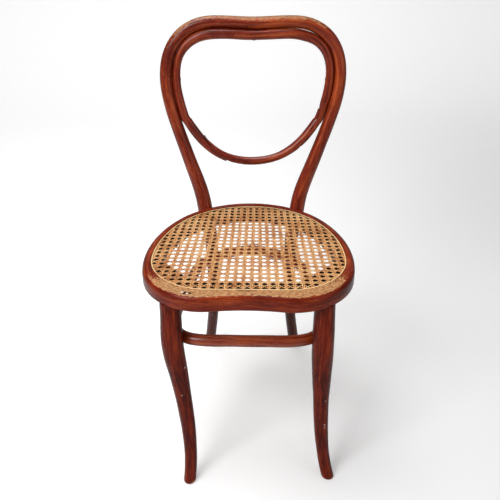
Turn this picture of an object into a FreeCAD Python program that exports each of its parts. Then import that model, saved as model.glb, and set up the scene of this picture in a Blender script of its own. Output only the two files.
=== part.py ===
import FreeCAD, Part
import Sketcher
import math
import os

from FreeCAD import Placement, Rotation, Vector

# Bentwood bistro chair with a hand-caned seat.
# Millimetres. +Z is up, +X is the sitter's left, the front of the seat faces -Y.
# The chair is drawn about the middle of its seat, and moved at the end so that the
# origin is the point on the floor under the middle of its own outline.

# Driving sizes
# Each row is a word, its value in millimetres or degrees, and what it sets.
SIZES = [
    ("seat_height", 461, "floor to the top of the seat rim"),
    ("rim_height", 34.5, "the seat rim from its underside to its top"),
    ("rim_rear_reach", 213.6, "seat middle to the outside of the rim at the rear"),
    ("rim_side_radius", 303, "outside bend of the rim along the sides"),
    ("rim_side_out", 84.3, "centre of each side bend, over to the far side of the seat middle"),
    ("rim_side_forward", 43.6, "centre of each side bend, forward of the seat middle"),
    ("rim_side_angle", 8.8, "where a side bend ends at the front, below level with its centre"),
    ("rim_corner_radius", 129, "outside bend of the two front lobes"),
    ("rim_notch_radius", 500, "hollow bend between the front lobes"),
    ("rim_top_round", 11, "rounding of the outer top edge"),
    ("rim_bottom_round", 8, "rounding of the outer bottom edge"),
    ("rim_inner_round", 3, "rounding of the opening's lower edge"),
    ("cane_inset", 20.5, "rim outside to the edge of the cane at the rear"),
    ("cane_side_inset", 16.5, "rim outside to the edge of the cane at the sides"),
    ("cane_corner_radius", 120, "bend of the cane's edge at the front corners"),
    ("cane_front_reach", 168.5, "seat middle to the cane's straight front edge"),
    ("ledge_width", 13, "the ledge that the cane is tied down on"),
    ("ledge_depth", 4.2, "rim top down to the ledge"),
    ("cane_front_pitch", 16.8, "front-to-back pairs, from one to the next at the front"),
    ("cane_rear_pitch", 14.2, "front-to-back pairs, from one to the next at the rear"),
    ("cane_row_pitch", 14.85, "side-to-side pairs, from one to the next"),
    ("cane_pair_gap", 4.2, "between the middles of the two strands of a pair"),
    ("strand_width", 2.6, "width of a strand of cane"),
    ("strand_thickness", 0.42, "thickness of a strand of cane"),
    ("strand_lift", 0.05, "clearance from one layer of strands to the next"),
    ("strand_end_gap", 3, "recess wall to the end of a strand"),
    ("binding_width", 4.6, "width of the cane that covers the strand ends"),
    ("binding_thickness", 0.8, "thickness of the binding cane"),
    ("binding_gap", 0.6, "recess wall to the binding"),
    ("back_height", 883, "floor to the top of the back bow"),
    ("back_lean", 9.8, "lean of the back from upright, in degrees"),
    ("back_side_lean", 6.8, "how far the top of the back stands over to its left"),
    ("bow_half_width", 209, "seat middle to the outside of the bow at its widest"),
    ("bow_widest_drop", 134, "top of the bow down to its widest place"),
    ("bow_dip", 2.4, "how far the top of the bow dips in the middle"),
    ("bow_top_radius", 13, "half the thickness of the bow at the top"),
    ("bow_side_radius", 13.8, "half the thickness of the bow at its sides"),
    ("post_radius", 17.6, "half the thickness of the rear post at the seat"),
    ("post_half_spacing", 109, "seat middle to the middle of a rear post"),
    ("post_notch", 8, "how deep the rim sits in the rear post"),
    ("rear_waist_half_spacing", 98, "seat middle to a rear leg at its narrowest"),
    ("rear_ankle_radius", 14, "half the thickness of a rear leg near the floor"),
    ("rear_foot_half_spacing", 119, "seat middle to a rear foot"),
    ("rear_foot_reach", 255, "seat middle back to a rear foot"),
    ("foot_round", 5, "rounding of a foot's lower edge"),
    ("hoop_top_radius", 11.6, "half the thickness of the inner hoop at the top"),
    ("hoop_side_radius", 9.6, "half the thickness of the inner hoop at its sides"),
    ("hoop_bottom_radius", 9.2, "half the thickness of the inner hoop at the bottom"),
    ("hoop_bottom_height", 567.5, "floor to the middle of the hoop's lowest stretch"),
    ("hoop_seat_gap", 0.2, "glue line between the hoop and the bow"),
    ("scarf_tip_proud", 2, "how far the upper hoop's tip stands off the lower hoop"),
    ("leg_half_spacing", 151, "seat middle to the middle of a front leg at the rim"),
    ("leg_front_reach", 160, "seat middle forward to a front leg at the rim"),
    ("leg_top_radius", 20.6, "half the thickness of a front leg under the rim"),
    ("leg_belly_radius", 22.2, "half the thickness of a front leg at the leg ring"),
    ("leg_shin_radius", 16.8, "half the thickness of a front leg halfway down"),
    ("leg_ankle_radius", 14.2, "half the thickness of a front leg near the floor"),
    ("leg_foot_radius", 13.2, "half the thickness of a front foot"),
    ("foot_flare", 18.5, "how far a front foot curves outward"),
    ("leg_sweep_left", 54.5, "how far the left front foot stands forward of its leg's top"),
    ("leg_sweep_right", 71.5, "how far the right front foot stands forward of its leg's top"),
    ("leg_lean_left", 6.5, "how far the left front leg leans outward"),
    ("leg_lean_right", -42.5, "how far the right front leg leans outward"),
    ("tenon_radius", 13, "the round tenon at the top of a front leg"),
    ("tenon_length", 22, "how far the tenon reaches into the rim"),
    ("tenon_root", 1, "how far the tenon starts inside the leg"),
    ("tenon_clearance", 0.15, "glue line round the tenon"),
    ("ring_height", 337, "floor to the middle of the leg ring"),
    ("ring_radius", 12.4, "half the thickness of the leg ring"),
    ("ring_front_corner_radius", 76, "bend of the ring behind the front legs"),
    ("ring_rear_corner_radius", 60, "bend of the ring before the rear legs"),
    ("ring_front_radius", 1100, "slight bend of the ring's front bar"),
    ("ring_side_radius", 620, "slight bend of the ring's sides"),
    ("ring_rear_radius", 500, "slight bend of the ring's rear bar"),
    ("ring_front_contact", 37.5, "side of the front leg that the ring lies on"),
    ("ring_rear_contact", 60, "side of the rear leg that the ring lies on"),
    ("ring_seat_gap", 0.2, "clearance between the ring and a leg"),
    ("screw_shank_radius", 2, "shank of a ring or hoop screw"),
    ("screw_head_radius", 4, "head of a ring or hoop screw"),
    ("screw_head_height", 2.4, "height of that head"),
    ("screw_head_sink", 0.6, "how deep that head sits in the wood"),
    ("screw_bite", 14, "how far a screw reaches into the second piece"),
    ("screw_clearance", 0.1, "between a screw and its hole"),
    ("bolt_shank_radius", 3, "shank of a seat bolt"),
    ("bolt_head_radius", 8, "domed head of a seat bolt"),
    ("bolt_head_height", 4, "height of that head"),
    ("bolt_clearance", 0.25, "between a bolt and its hole"),
    ("bolt_spot_depth", 2, "flat cut into the post for the bolt head"),
    ("spot_clearance", 0.8, "how much wider a flat spot is than what lies on it"),
    ("nut_across_flats", 10, "the nut on a seat bolt"),
    ("nut_thickness", 5, "thickness of that nut"),
    ("washer_radius", 8, "washer under the nut"),
    ("washer_thickness", 1.2, "thickness of that washer"),
    ("washer_spot_depth", 1.2, "flat cut into the rim's inner wall for the washer"),
    ("bolt_tail", 2, "how far the bolt shows past its nut"),
]

# Places along the bent sticks, as shares of the sizes above
LOBE_SHARE = 0.40
SHOULDER_SHARES = [(0.575, 0.023), (0.77, 0.15), (0.93, 0.44)]
RIGHT_ANGLE = 90
HALF_TURN = 180
SIDE_LEAN_POWER = 1.5
SWEEP_POWER = 1.7
FLARE_POWER = 4.75
SECTION_LENGTH = 90.0
SECTION_TURN = math.radians(12)
FINE_STEPS = 400
HALVINGS = 60

doc = FreeCAD.newDocument("bistro_chair")


def fill_sheet():
    """The sheet of driving sizes, one row for each, with the word as its alias."""
    sheet = doc.addObject("Spreadsheet::Sheet", "Sizes")
    for row, (word, value, meaning) in enumerate(SIZES, start=1):
        sheet.set(f"A{row}", word)
        sheet.set(f"B{row}", str(value))
        sheet.set(f"C{row}", meaning)
        sheet.setAlias(f"B{row}", word)
    doc.recompute()
    return sheet


sheet = fill_sheet()


def size(word):
    """A driving size, read back from the sheet."""
    return float(sheet.get(word))


SIDE_CENTRE = Vector(-size("rim_side_out"), -size("rim_side_forward"), 0)


def rear_bend(rear_inset, side_inset):
    """Centre and radius of the seat's rear bend, and the angle where the sides begin."""
    side_radius = size("rim_side_radius") - side_inset
    reach = size("rim_rear_reach") - rear_inset
    spare = side_radius + SIDE_CENTRE.y - reach
    join = RIGHT_ANGLE - 2 * math.degrees(math.atan2(spare, -SIDE_CENTRE.x))
    radius = side_radius + SIDE_CENTRE.x / math.cos(math.radians(join))
    return Vector(0, reach - radius, 0), radius, join


# Places that several pieces share
REAR_CENTRE, REAR_RADIUS, REAR_JOIN = rear_bend(0, 0)
RIM_BOTTOM = size("seat_height") - size("rim_height")
LEDGE = size("seat_height") - size("ledge_depth")
BOW_WIDEST_HEIGHT = size("back_height") - size("bow_widest_drop")
BOLT_HEIGHT = size("seat_height") - size("rim_height") / 2
LEAN = math.radians(size("back_lean"))
POST_DISTANCE = REAR_RADIUS + size("post_radius") - size("post_notch")
POST_Y = REAR_CENTRE.y + math.sqrt(POST_DISTANCE**2 - size("post_half_spacing") ** 2)



# Helpers for documents


def bind(thing, **formulas):
    """Ties properties of an object to the sheet."""
    for name, formula in formulas.items():
        thing.setExpression(name, formula)


def add(kind, name, **formulas):
    """A new object of the document with its sizes tied to the sheet."""
    thing = doc.addObject(kind, name)
    bind(thing, **formulas)
    return thing


def cut(name, base, tools):
    """The base with each tool taken away, one after the other."""
    for index, tool in enumerate(tools, start=1):
        result = doc.addObject("Part::Cut", f"{name}_cut_{index}")
        result.Base = base
        result.Tool = tool
        base = result
    return base


def common(name, base, tool):
    """What the base and the tool share."""
    result = doc.addObject("Part::Common", name)
    result.Base = base
    result.Tool = tool
    return result


def group(name, members):
    """Separate solids of one kind that share a node."""
    result = doc.addObject("Part::Compound", name)
    result.Links = members
    result.Label = name
    return result


def plain(name, shape):
    """A shape that is worked out point by point."""
    thing = doc.addObject("Part::Feature", name)
    thing.Shape = shape
    return thing


def along(point, direction):
    """A placement at a point whose Z axis runs along a direction."""
    return Placement(point, Rotation(Vector(0, 0, 1), direction))


def rod(name, point, direction, radius, length):
    """A cylinder from a point along a direction; radius and length are formulas."""
    thing = add("Part::Cylinder", name, Radius=radius, Height=length)
    thing.Placement = along(point, direction)
    return thing


def polar(angle, length=1.0):
    """A level vector at an angle in degrees from +X."""
    turn = math.radians(angle)
    return Vector(length * math.cos(turn), length * math.sin(turn), 0)


# Outlines of the seat, made of arcs that run smoothly into each other


def arc(centre, radius, start, end):
    """Part of a circle between two angles in degrees, anticlockwise."""
    circle = Part.Circle(centre, Vector(0, 0, 1), radius)
    return Part.ArcOfCircle(circle, math.radians(start), math.radians(end))


def mirrored(piece_centre, radius, start, end):
    """An arc and its mirror image on the other side of the chair."""
    other = Vector(-piece_centre.x, piece_centre.y, 0)
    near = arc(piece_centre, radius, start, end)
    return near, arc(other, radius, HALF_TURN - end, HALF_TURN - start)


def rim_outline():
    """The double-lobed outside of the seat."""
    rear = arc(REAR_CENTRE, REAR_RADIUS, REAR_JOIN, HALF_TURN - REAR_JOIN)
    side_radius = size("rim_side_radius")
    corner_start = -size("rim_side_angle")
    corner_radius = size("rim_corner_radius")
    corner_centre = SIDE_CENTRE + polar(corner_start, side_radius - corner_radius)
    reach = corner_radius + size("rim_notch_radius")
    notch_turn = math.degrees(math.asin(corner_centre.x / reach))
    drop = reach * math.cos(math.radians(notch_turn))
    notch_centre = Vector(0, corner_centre.y - drop, 0)
    side, other_side = mirrored(SIDE_CENTRE, side_radius, corner_start, REAR_JOIN)
    lobe_start = -RIGHT_ANGLE - notch_turn
    lobe, other_lobe = mirrored(corner_centre, corner_radius, lobe_start, corner_start)
    notch_start = RIGHT_ANGLE - notch_turn
    notch = arc(notch_centre, size("rim_notch_radius"), notch_start, HALF_TURN - notch_start)
    return [rear, other_side, other_lobe, notch, lobe, side]


def cane_outline(inset):
    """The cane's edge, or a line that runs inside it at a constant distance."""
    side_inset = size("cane_side_inset") + inset
    centre, radius, join = rear_bend(size("cane_inset") + inset, side_inset)
    rear = arc(centre, radius, join, HALF_TURN - join)
    side_radius = size("rim_side_radius") - side_inset
    corner_radius = size("cane_corner_radius") - inset
    front = -size("cane_front_reach") + inset
    rise = front + corner_radius - SIDE_CENTRE.y
    turn = math.degrees(math.asin(rise / (side_radius - corner_radius)))
    corner_centre = SIDE_CENTRE + polar(turn, side_radius - corner_radius)
    side, other_side = mirrored(SIDE_CENTRE, side_radius, turn, join)
    corner, other_corner = mirrored(corner_centre, corner_radius, -RIGHT_ANGLE, turn)
    left = Vector(-corner_centre.x, front, 0)
    right = Vector(corner_centre.x, front, 0)
    return [rear, other_side, other_corner, Part.LineSegment(left, right), corner, side]


def outline_wire(pieces, height):
    """The outline as one closed wire at a height."""
    wire = Part.Wire(Part.__sortEdges__([piece.toShape() for piece in pieces]))
    wire.translate(Vector(0, 0, height))
    return wire


def outline_prism(pieces, bottom, top):
    """The outline filled and raised from one height to another."""
    face = Part.Face(outline_wire(pieces, bottom))
    return face.extrude(Vector(0, 0, top - bottom))


# Bent sticks: a smooth centre line with round sections across it


def smooth(points, closed=False):
    """A smooth curve through points."""
    curve = Part.BSplineCurve()
    curve.interpolate(Points=points, PeriodicFlag=closed)
    return curve


def radius_at(curve, radii, place):
    """The stick's half thickness, even between the curve's own points."""
    knots = curve.getKnots()
    if place > knots[-1]:
        place -= knots[-1] - knots[0]
    for index in range(len(knots) - 1):
        if place <= knots[index + 1]:
            share = (place - knots[index]) / (knots[index + 1] - knots[index])
            return radii[index] + share * (radii[index + 1] - radii[index])
    return radii[-1]


def section_places(curve, start, end):
    """Where the stick is drawn: closer together where it bends more."""
    steps = FINE_STEPS
    places = [start + (end - start) * index / steps for index in range(steps + 1)]
    weight = [0.0]
    for before, after in zip(places, places[1:]):
        length = curve.value(before).distanceToPoint(curve.value(after))
        tangents = [Vector(*curve.tangent(place)[0]) for place in (before, after)]
        turn = tangents[0].getAngle(tangents[1])
        weight.append(weight[-1] + length / SECTION_LENGTH + turn / SECTION_TURN)
    count = math.ceil(weight[-1])
    chosen = []
    for index in range(count + 1):
        goal = weight[-1] * index / count
        chosen.append(min(range(steps + 1), key=lambda step: abs(weight[step] - goal)))
    return [places[step] for step in chosen]


def section(name, centre, tangent, radius, across):
    """One round section of a stick, square to its centre line."""
    circle = doc.addObject("Part::Circle", name)
    circle.Radius = radius
    start = across - tangent * across.dot(tangent)
    turn = Rotation(start, tangent.cross(start), tangent, "ZXY")
    circle.Placement = Placement(centre, turn)
    return circle


def no_lift(place):
    """Most sticks follow their curve exactly."""
    return Vector()


def bent_stick(name, curve, radii, across, start=None, end=None, lift=no_lift):
    """A stick of changing thickness that follows a curve."""
    first = curve.FirstParameter if start is None else start
    last = curve.LastParameter if end is None else end
    sections = []
    for index, place in enumerate(section_places(curve, first, last), start=1):
        tangent = Vector(*curve.tangent(place)[0])
        centre = curve.value(place) + lift(place)
        radius = radius_at(curve, radii, place)
        sections.append(section(f"{name}_section_{index}", centre, tangent, radius, across))
    stick = doc.addObject("Part::Loft", f"{name}_stick")
    stick.Sections = sections
    stick.Solid = True
    stick.Ruled = True
    return stick


def floor_block():
    """What lies below the floor, to cut the feet level."""
    block = doc.addObject("Part::Box", "below_floor")
    bind(block, Length="Sizes.seat_height * 2", Width="Sizes.seat_height * 2")
    bind(block, Height="Sizes.rim_height * 2")
    reach = size("seat_height")
    block.Placement.Base = Vector(-reach, -reach, -2 * size("rim_height"))
    return block


def rounded_feet(name, base):
    """The lower edges of the feet, worn round."""
    doc.recompute()
    result = doc.addObject("Part::Fillet", name)
    result.Base = base
    chosen = []
    for index, edge in enumerate(base.Shape.Edges, start=1):
        if max(corner.Z for corner in edge.Vertexes) < 0.01:
            chosen.append((index, size("foot_round"), size("foot_round")))
    result.Edges = chosen
    return result


# The back: one stick bent into the bow, both posts and both rear legs


def back_point(x, rise):
    """A point of the leaning back, from its middle and its distance up the lean."""
    return Vector(x, POST_Y + rise * math.sin(LEAN), BOLT_HEIGHT + rise * math.cos(LEAN))


def rise_of(height):
    """Distance up the lean of a height above the floor."""
    return (height - BOLT_HEIGHT) / math.cos(LEAN)


def leaned(x, rise):
    """A point of the flat back, moved over a little more the higher it is."""
    share = max(0.0, rise / rise_of(size("back_height")))
    return Vector(x + size("back_side_lean") * share**SIDE_LEAN_POWER, rise, 0)


def bow_half():
    """Middle of the bow from its top down to the post, as distance out, rise and radius."""
    top_radius = size("bow_top_radius")
    side_radius = size("bow_side_radius")
    top = rise_of(size("back_height")) - top_radius
    wide = size("bow_half_width") - side_radius
    widest = rise_of(BOW_WIDEST_HEIGHT)
    points = [(0, top - size("bow_dip"), top_radius), (LOBE_SHARE * wide, top, top_radius)]
    for share, drop in SHOULDER_SHARES:
        rise = top - drop * (top - widest)
        points.append((share * wide, rise, (top_radius + side_radius) / 2))
    post = size("post_half_spacing")
    points.append((wide, widest, side_radius))
    points.append((post + 0.804 * (wide - post), 0.727 * widest, 1.02 * side_radius))
    points.append((post + 0.627 * (wide - post), 0.577 * widest, 1.04 * side_radius))
    points.append((post + 0.350 * (wide - post), 0.360 * widest, 1.12 * side_radius))
    return points


def rear_leg_half():
    """Middle of a post and rear leg from the seat down past the floor."""
    post = size("post_half_spacing")
    waist = size("rear_waist_half_spacing")
    foot = size("rear_foot_half_spacing")
    reach = size("rear_foot_reach") - POST_Y
    ankle = size("rear_ankle_radius")
    seat = BOLT_HEIGHT
    rows = [
        (post + 0.059 * post, POST_Y + 0.10 * seat * math.sin(LEAN), 1.08 * seat, 0.98),
        (post, POST_Y, seat, 1.0),
        (waist + 0.25 * (post - waist), POST_Y + 0.01 * reach, 0.87 * seat, 0.93),
        (waist, POST_Y + 0.12 * reach, 0.72 * seat, 0.86),
        (waist + 0.03 * (foot - waist), POST_Y + 0.36 * reach, 0.5 * seat, 0.82),
        (waist + 0.42 * (foot - waist), POST_Y + 0.72 * reach, 0.225 * seat, None),
        (foot, POST_Y + reach, 0, None),
        (foot + 0.1 * (foot - waist), POST_Y + 1.06 * reach, -0.045 * seat, None),
    ]
    half = []
    for x, y, z, share in rows:
        radius = ankle if share is None else share * size("post_radius")
        half.append((Vector(x, y, z), radius))
    return half


def back_centreline():
    """The whole back stick from one foot over the bow to the other foot."""
    whole = []
    for side in (-1, 1):
        half = []
        for x, rise, radius in bow_half():
            point = leaned(side * x, rise)
            half.append((back_point(point.x, point.y), radius))
        for point, radius in rear_leg_half():
            half.append((Vector(side * point.x, point.y, point.z), radius))
        whole += half[:0:-1] if side < 0 else half
    return smooth([point for point, radius in whole]), [radius for point, radius in whole]


BACK_CURVE, BACK_RADII = back_centreline()


def rear_leg_at(height):
    """Middle and radius of the right rear leg at a height."""
    low = BACK_CURVE.LastParameter / 2
    high = BACK_CURVE.LastParameter
    for step in range(HALVINGS):
        middle = (low + high) / 2
        if BACK_CURVE.value(middle).z > height:
            low = middle
        else:
            high = middle
    return BACK_CURVE.value(low), radius_at(BACK_CURVE, BACK_RADII, low)


def seat_joint_line(side):
    """Where a seat bolt runs: out from the seat's rear centre through the post."""
    middle = Vector(side * size("post_half_spacing"), POST_Y, BOLT_HEIGHT)
    outward = middle - REAR_CENTRE - Vector(0, 0, BOLT_HEIGHT)
    outward.normalize()
    return middle, outward


# The inner hoop: two lengths scarfed together inside the bow


def hoop_upper_half(side):
    """Middle of the hoop where it lies against the bow, from the top down one side."""
    bow = bow_half()
    right = [leaned(x, rise) for x, rise, radius in bow]
    left = [leaned(-x, rise) for x, rise, radius in bow[:0:-1]]
    flat = smooth(left + right)
    knots = flat.getKnots()
    middle = len(bow) - 1
    top = size("hoop_top_radius")
    flank = size("hoop_side_radius")
    radii = [top, top, top, 0.95 * top, flank, flank, 1.04 * flank]
    half = []
    for index, radius in enumerate(radii):
        place = knots[middle + side * index]
        tangent = Vector(*flat.tangent(place)[0])
        inward = Vector(tangent.y, -tangent.x, 0)
        distance = bow[index][2] + radius + size("hoop_seat_gap")
        point = flat.value(place) + inward * distance
        half.append((point, radius))
    return half


def hoop_lower_half(side):
    """The hoop below the place where it leaves the bow, at shares of its half width."""
    wide = size("bow_half_width") - 2 * size("bow_side_radius") - size("hoop_side_radius")
    bottom = rise_of(size("hoop_bottom_height"))
    widest = rise_of(BOW_WIDEST_HEIGHT)
    drop = widest - bottom
    flank = 1.08 * size("hoop_side_radius")
    low = size("hoop_bottom_radius")
    rows = [(0.773, 0.382, flank), (0.686, 0.281, flank), (0.37, 0.065, low), (0.0, 0.0, low)]
    half = []
    for out, up, radius in rows:
        half.append((leaned(side * out * wide, bottom + up * drop), radius))
    return half


def hoop_centreline():
    """The closed middle line of the hoop in its own flat plane, and its radii."""
    right = hoop_upper_half(1) + hoop_lower_half(1)
    left = hoop_upper_half(-1) + hoop_lower_half(-1)
    whole = right + left[-2:0:-1]
    radii = [radius for point, radius in whole]
    return smooth([point for point, radius in whole], closed=True), radii + radii[:1]


HOOP_CURVE, HOOP_RADII = hoop_centreline()
HOOP_KNOTS = HOOP_CURVE.getKnots()
HOOP_PLACE = Placement(back_point(0, 0), Rotation(Vector(1, 0, 0), RIGHT_ANGLE - size("back_lean")))


def hoop_place(index):
    """A place on the hoop's curve, counted in its own points from the top middle."""
    whole = int(index)
    share = index - whole
    span = HOOP_KNOTS[-1] - HOOP_KNOTS[0]
    laps, whole = divmod(whole, len(HOOP_KNOTS) - 1)
    step = HOOP_KNOTS[whole + 1] - HOOP_KNOTS[whole]
    return HOOP_KNOTS[whole] + share * step + laps * span


# The four ends of the scarf joints, counted the same way round the hoop
RIGHT_INNER_TIP = 5.45
RIGHT_OUTER_TIP = 8.6
LEFT_OUTER_TIP = 10.45
LEFT_INNER_TIP = 12.3
ONE_LAP = 20


def outward_at(place):
    """Away from the middle of the hoop, in its flat plane."""
    tangent = Vector(*HOOP_CURVE.tangent(place)[0])
    return Vector(-tangent.y, tangent.x, 0)


def scarf_line(outer_index, inner_index):
    """A joint that runs slowly from the hoop's outer side to its inner side."""
    points = []
    for step in range(5):
        share = step / 4
        place = hoop_place(outer_index + (inner_index - outer_index) * share)
        reach = 1.3 * size("hoop_side_radius") * (1 - 2 * share)
        points.append(HOOP_CURVE.value(place) + outward_at(place) * reach)
    return points


def scarf_block():
    """The space that the lower length of the hoop may fill, with a joint at each end."""
    right = scarf_line(RIGHT_OUTER_TIP, RIGHT_INNER_TIP)
    left = scarf_line(LEFT_OUTER_TIP, LEFT_INNER_TIP)
    below = rise_of(size("hoop_bottom_height")) - 8 * size("hoop_bottom_radius")
    corners = right[::-1]
    corners.append(Vector(right[0].x + size("hoop_side_radius"), below, 0))
    corners.append(Vector(left[0].x, below, 0))
    corners += left
    corners.append(Vector(0, rise_of(BOW_WIDEST_HEIGHT), 0))
    outline = Part.makePolygon(corners + corners[:1])
    depth = 4 * size("hoop_top_radius")
    outline.translate(Vector(0, 0, -depth / 2))
    block = Part.Face(outline).extrude(Vector(0, 0, depth))
    thing = plain("scarf_block", block)
    thing.Placement = HOOP_PLACE
    return thing


def tip_lift(place):
    """The upper length's left tip stands off the lower length by a little."""
    tip = hoop_place(LEFT_OUTER_TIP)
    fade = hoop_place(LEFT_INNER_TIP)
    share = max(0.0, (fade - place) / (fade - tip))
    outward = HOOP_PLACE.Rotation.multVec(outward_at(place))
    return outward * size("scarf_tip_proud") * share


def hoop_screw_lines():
    """Where the hoop is screwed to the bow: start inside the hoop, and direction."""
    lines = []
    for index in (0, 5, ONE_LAP - 5):
        place = hoop_place(index)
        outward = HOOP_PLACE.Rotation.multVec(outward_at(place))
        radius = radius_at(HOOP_CURVE, HOOP_RADII, place)
        centre = HOOP_PLACE.multVec(HOOP_CURVE.value(place))
        lines.append((centre - outward * radius, outward, 2 * radius))
    return lines


# Screws with a round head, and the holes they go in


HEAD_DEPTH = "Sizes.screw_head_height + Sizes.screw_head_sink"


def screw(name, start, direction, grip):
    """A screw whose head lies on the start point, gripping a piece of some thickness."""
    length = f"{grip} + Sizes.screw_bite"
    shank = rod(f"{name}_shank", start, direction, "Sizes.screw_shank_radius", length)
    base = start - direction * size("screw_head_height")
    head = rod(f"{name}_head", base, direction, "Sizes.screw_head_radius", HEAD_DEPTH)
    joined = doc.addObject("Part::Fuse", name)
    joined.Base = shank
    joined.Tool = head
    return joined


def screw_hole(name, start, direction, grip):
    """The hole for such a screw, with a shallow seat for its head."""
    wide = "Sizes.screw_shank_radius + Sizes.screw_clearance"
    length = f"{grip} + Sizes.screw_bite + Sizes.screw_clearance"
    hole = rod(f"{name}_hole", start, direction, wide, length)
    base = start - direction * size("screw_head_height")
    wide = "Sizes.screw_head_radius + Sizes.screw_clearance"
    seat = rod(f"{name}_head_seat", base, direction, wide, HEAD_DEPTH)
    joined = doc.addObject("Part::Fuse", name)
    joined.Base = hole
    joined.Tool = seat
    return joined


# The seat rim, bent into a double-lobed ring


def attached_sketch(body, name, height_formula):
    """An empty sketch on the body's own level plane, at a height."""
    plane = next(item for item in body.Origin.OriginFeatures if item.Role == "XY_Plane")
    sketch = body.newObject("Sketcher::SketchObject", name)
    sketch.AttachmentSupport = [(plane, "")]
    sketch.MapMode = "FlatFace"
    sketch.setExpression("AttachmentOffset.Base.z", height_formula)
    return sketch


def draw(sketch, pieces):
    """Puts the pieces of a closed outline into the sketch, joined end to end."""
    sketch.addGeometry(pieces, False)
    ends = [(piece.StartPoint, piece.EndPoint) for piece in pieces]
    count = len(pieces)
    for first in range(count):
        second = (first + 1) % count
        for one in (1, 2):
            for two in (1, 2):
                if ends[first][one - 1].distanceToPoint(ends[second][two - 1]) < 1e-6:
                    joint = Sketcher.Constraint("Coincident", first, one, second, two)
                    sketch.addConstraint(joint)


def round_edges(body, name, chosen, formula):
    """Rounds the edges of the body that a test picks out."""
    doc.recompute()
    base = body.Tip
    edges = base.Shape.Edges
    names = [f"Edge{index}" for index, edge in enumerate(edges, start=1) if chosen(edge)]
    fillet = body.newObject("PartDesign::Fillet", name)
    fillet.Base = (base, names)
    fillet.setExpression("Radius", formula)
    body.Tip = fillet
    return fillet


def level_at(height):
    """Whether an edge lies level at a height."""
    def test(edge):
        box = edge.BoundBox
        return abs(box.ZMin - height) < 0.01 and abs(box.ZMax - height) < 0.01
    return test


def pocket(body, name, sketch, depth_formula, upward=False):
    """A pocket that must take wood away."""
    doc.recompute()
    before = body.Tip.Shape.Volume
    result = body.newObject("PartDesign::Pocket", name)
    result.Profile = sketch
    result.Reversed = upward
    result.setExpression("Length", depth_formula)
    body.Tip = result
    doc.recompute()
    if result.Shape.Volume >= before:
        raise RuntimeError(f"{name} cuts nothing")
    return result


def seat_rim_body():
    """The rim with its ledge for the cane, its opening and the leg sockets."""
    body = doc.addObject("PartDesign::Body", "seat_rim_body")
    outline = attached_sketch(body, "rim_outline", "Sizes.seat_height - Sizes.rim_height")
    draw(outline, rim_outline())
    pad = body.newObject("PartDesign::Pad", "rim_pad")
    pad.Profile = outline
    pad.setExpression("Length", "Sizes.rim_height")
    top = level_at(size("seat_height"))
    bottom = level_at(RIM_BOTTOM)
    round_edges(body, "rim_top_rounding", top, "Sizes.rim_top_round")
    round_edges(body, "rim_bottom_rounding", bottom, "Sizes.rim_bottom_round")

    recess = attached_sketch(body, "cane_recess_outline", "Sizes.seat_height")
    draw(recess, cane_outline(0))
    pocket(body, "cane_recess", recess, "Sizes.ledge_depth")

    opening = attached_sketch(body, "opening_outline", "Sizes.seat_height")
    draw(opening, cane_outline(size("ledge_width")))
    pocket(body, "opening", opening, "Sizes.rim_height + 1")

    def opening_edge(edge):
        return bottom(edge) and inside_opening(edge)

    def inside_opening(edge):
        reach = edge.BoundBox
        return reach.YMin > -size("cane_front_reach") and reach.YMax < REAR_RADIUS

    round_edges(body, "opening_rounding", opening_edge, "Sizes.rim_inner_round")

    sockets = attached_sketch(body, "socket_circles", "Sizes.seat_height - Sizes.rim_height")
    for side in (-1, 1):
        centre = Vector(side * size("leg_half_spacing"), -size("leg_front_reach"), 0)
        radius = size("tenon_radius") + size("tenon_clearance")
        sockets.addGeometry(Part.Circle(centre, Vector(0, 0, 1), radius), False)
    depth = "Sizes.tenon_length + Sizes.tenon_clearance"
    pocket(body, "leg_sockets", sockets, depth, upward=True)
    return body


# Seat bolts with their nuts and washers



def inner_wall():
    """From the rear bend's centre along a seat bolt to the wall of the opening."""
    side_inset = size("cane_side_inset") + size("ledge_width")
    centre, radius, join = rear_bend(size("cane_inset") + size("ledge_width"), side_inset)
    outward = seat_joint_line(1)[1]
    offset = REAR_CENTRE - centre
    along_bolt = offset.dot(outward)
    return math.sqrt(along_bolt**2 + radius**2 - offset.dot(offset)) - along_bolt


INNER_WALL = inner_wall()
HEAD_PLANE = POST_DISTANCE + size("post_radius") - size("bolt_spot_depth")
WASHER_PLANE = INNER_WALL + size("washer_spot_depth")
NUT_PLANE = WASHER_PLANE - size("washer_thickness")
BOLT_END = NUT_PLANE - size("nut_thickness") - size("bolt_tail")


def on_seat_joint(side, distance):
    """A point on a seat bolt's line, at a distance from the rear bend's centre."""
    outward = seat_joint_line(side)[1]
    return REAR_CENTRE + Vector(0, 0, BOLT_HEIGHT) + outward * distance, outward


def seat_bolt(name, side):
    """A domed head outside the post and a shank that reaches past the nut."""
    start, outward = on_seat_joint(side, BOLT_END)
    length = HEAD_PLANE - BOLT_END + size("bolt_head_height") / 4
    shank = rod(f"{name}_shank", start, outward, "Sizes.bolt_shank_radius", str(length))
    seat = on_seat_joint(side, HEAD_PLANE)[0]
    head = rod(f"{name}_head", seat, outward, "Sizes.bolt_head_radius", "Sizes.bolt_head_height")
    doc.recompute()
    dome = doc.addObject("Part::Fillet", f"{name}_dome")
    dome.Base = head
    crown = 0.8 * size("bolt_head_height")
    top = seat + outward * size("bolt_head_height")
    for index, edge in enumerate(head.Shape.Edges, start=1):
        if edge.Closed and edge.CenterOfMass.distanceToPoint(top) < 0.01:
            dome.Edges = [(index, crown, crown)]
    bolt = doc.addObject("Part::Fuse", name)
    bolt.Base = shank
    bolt.Tool = dome
    return bolt


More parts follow.
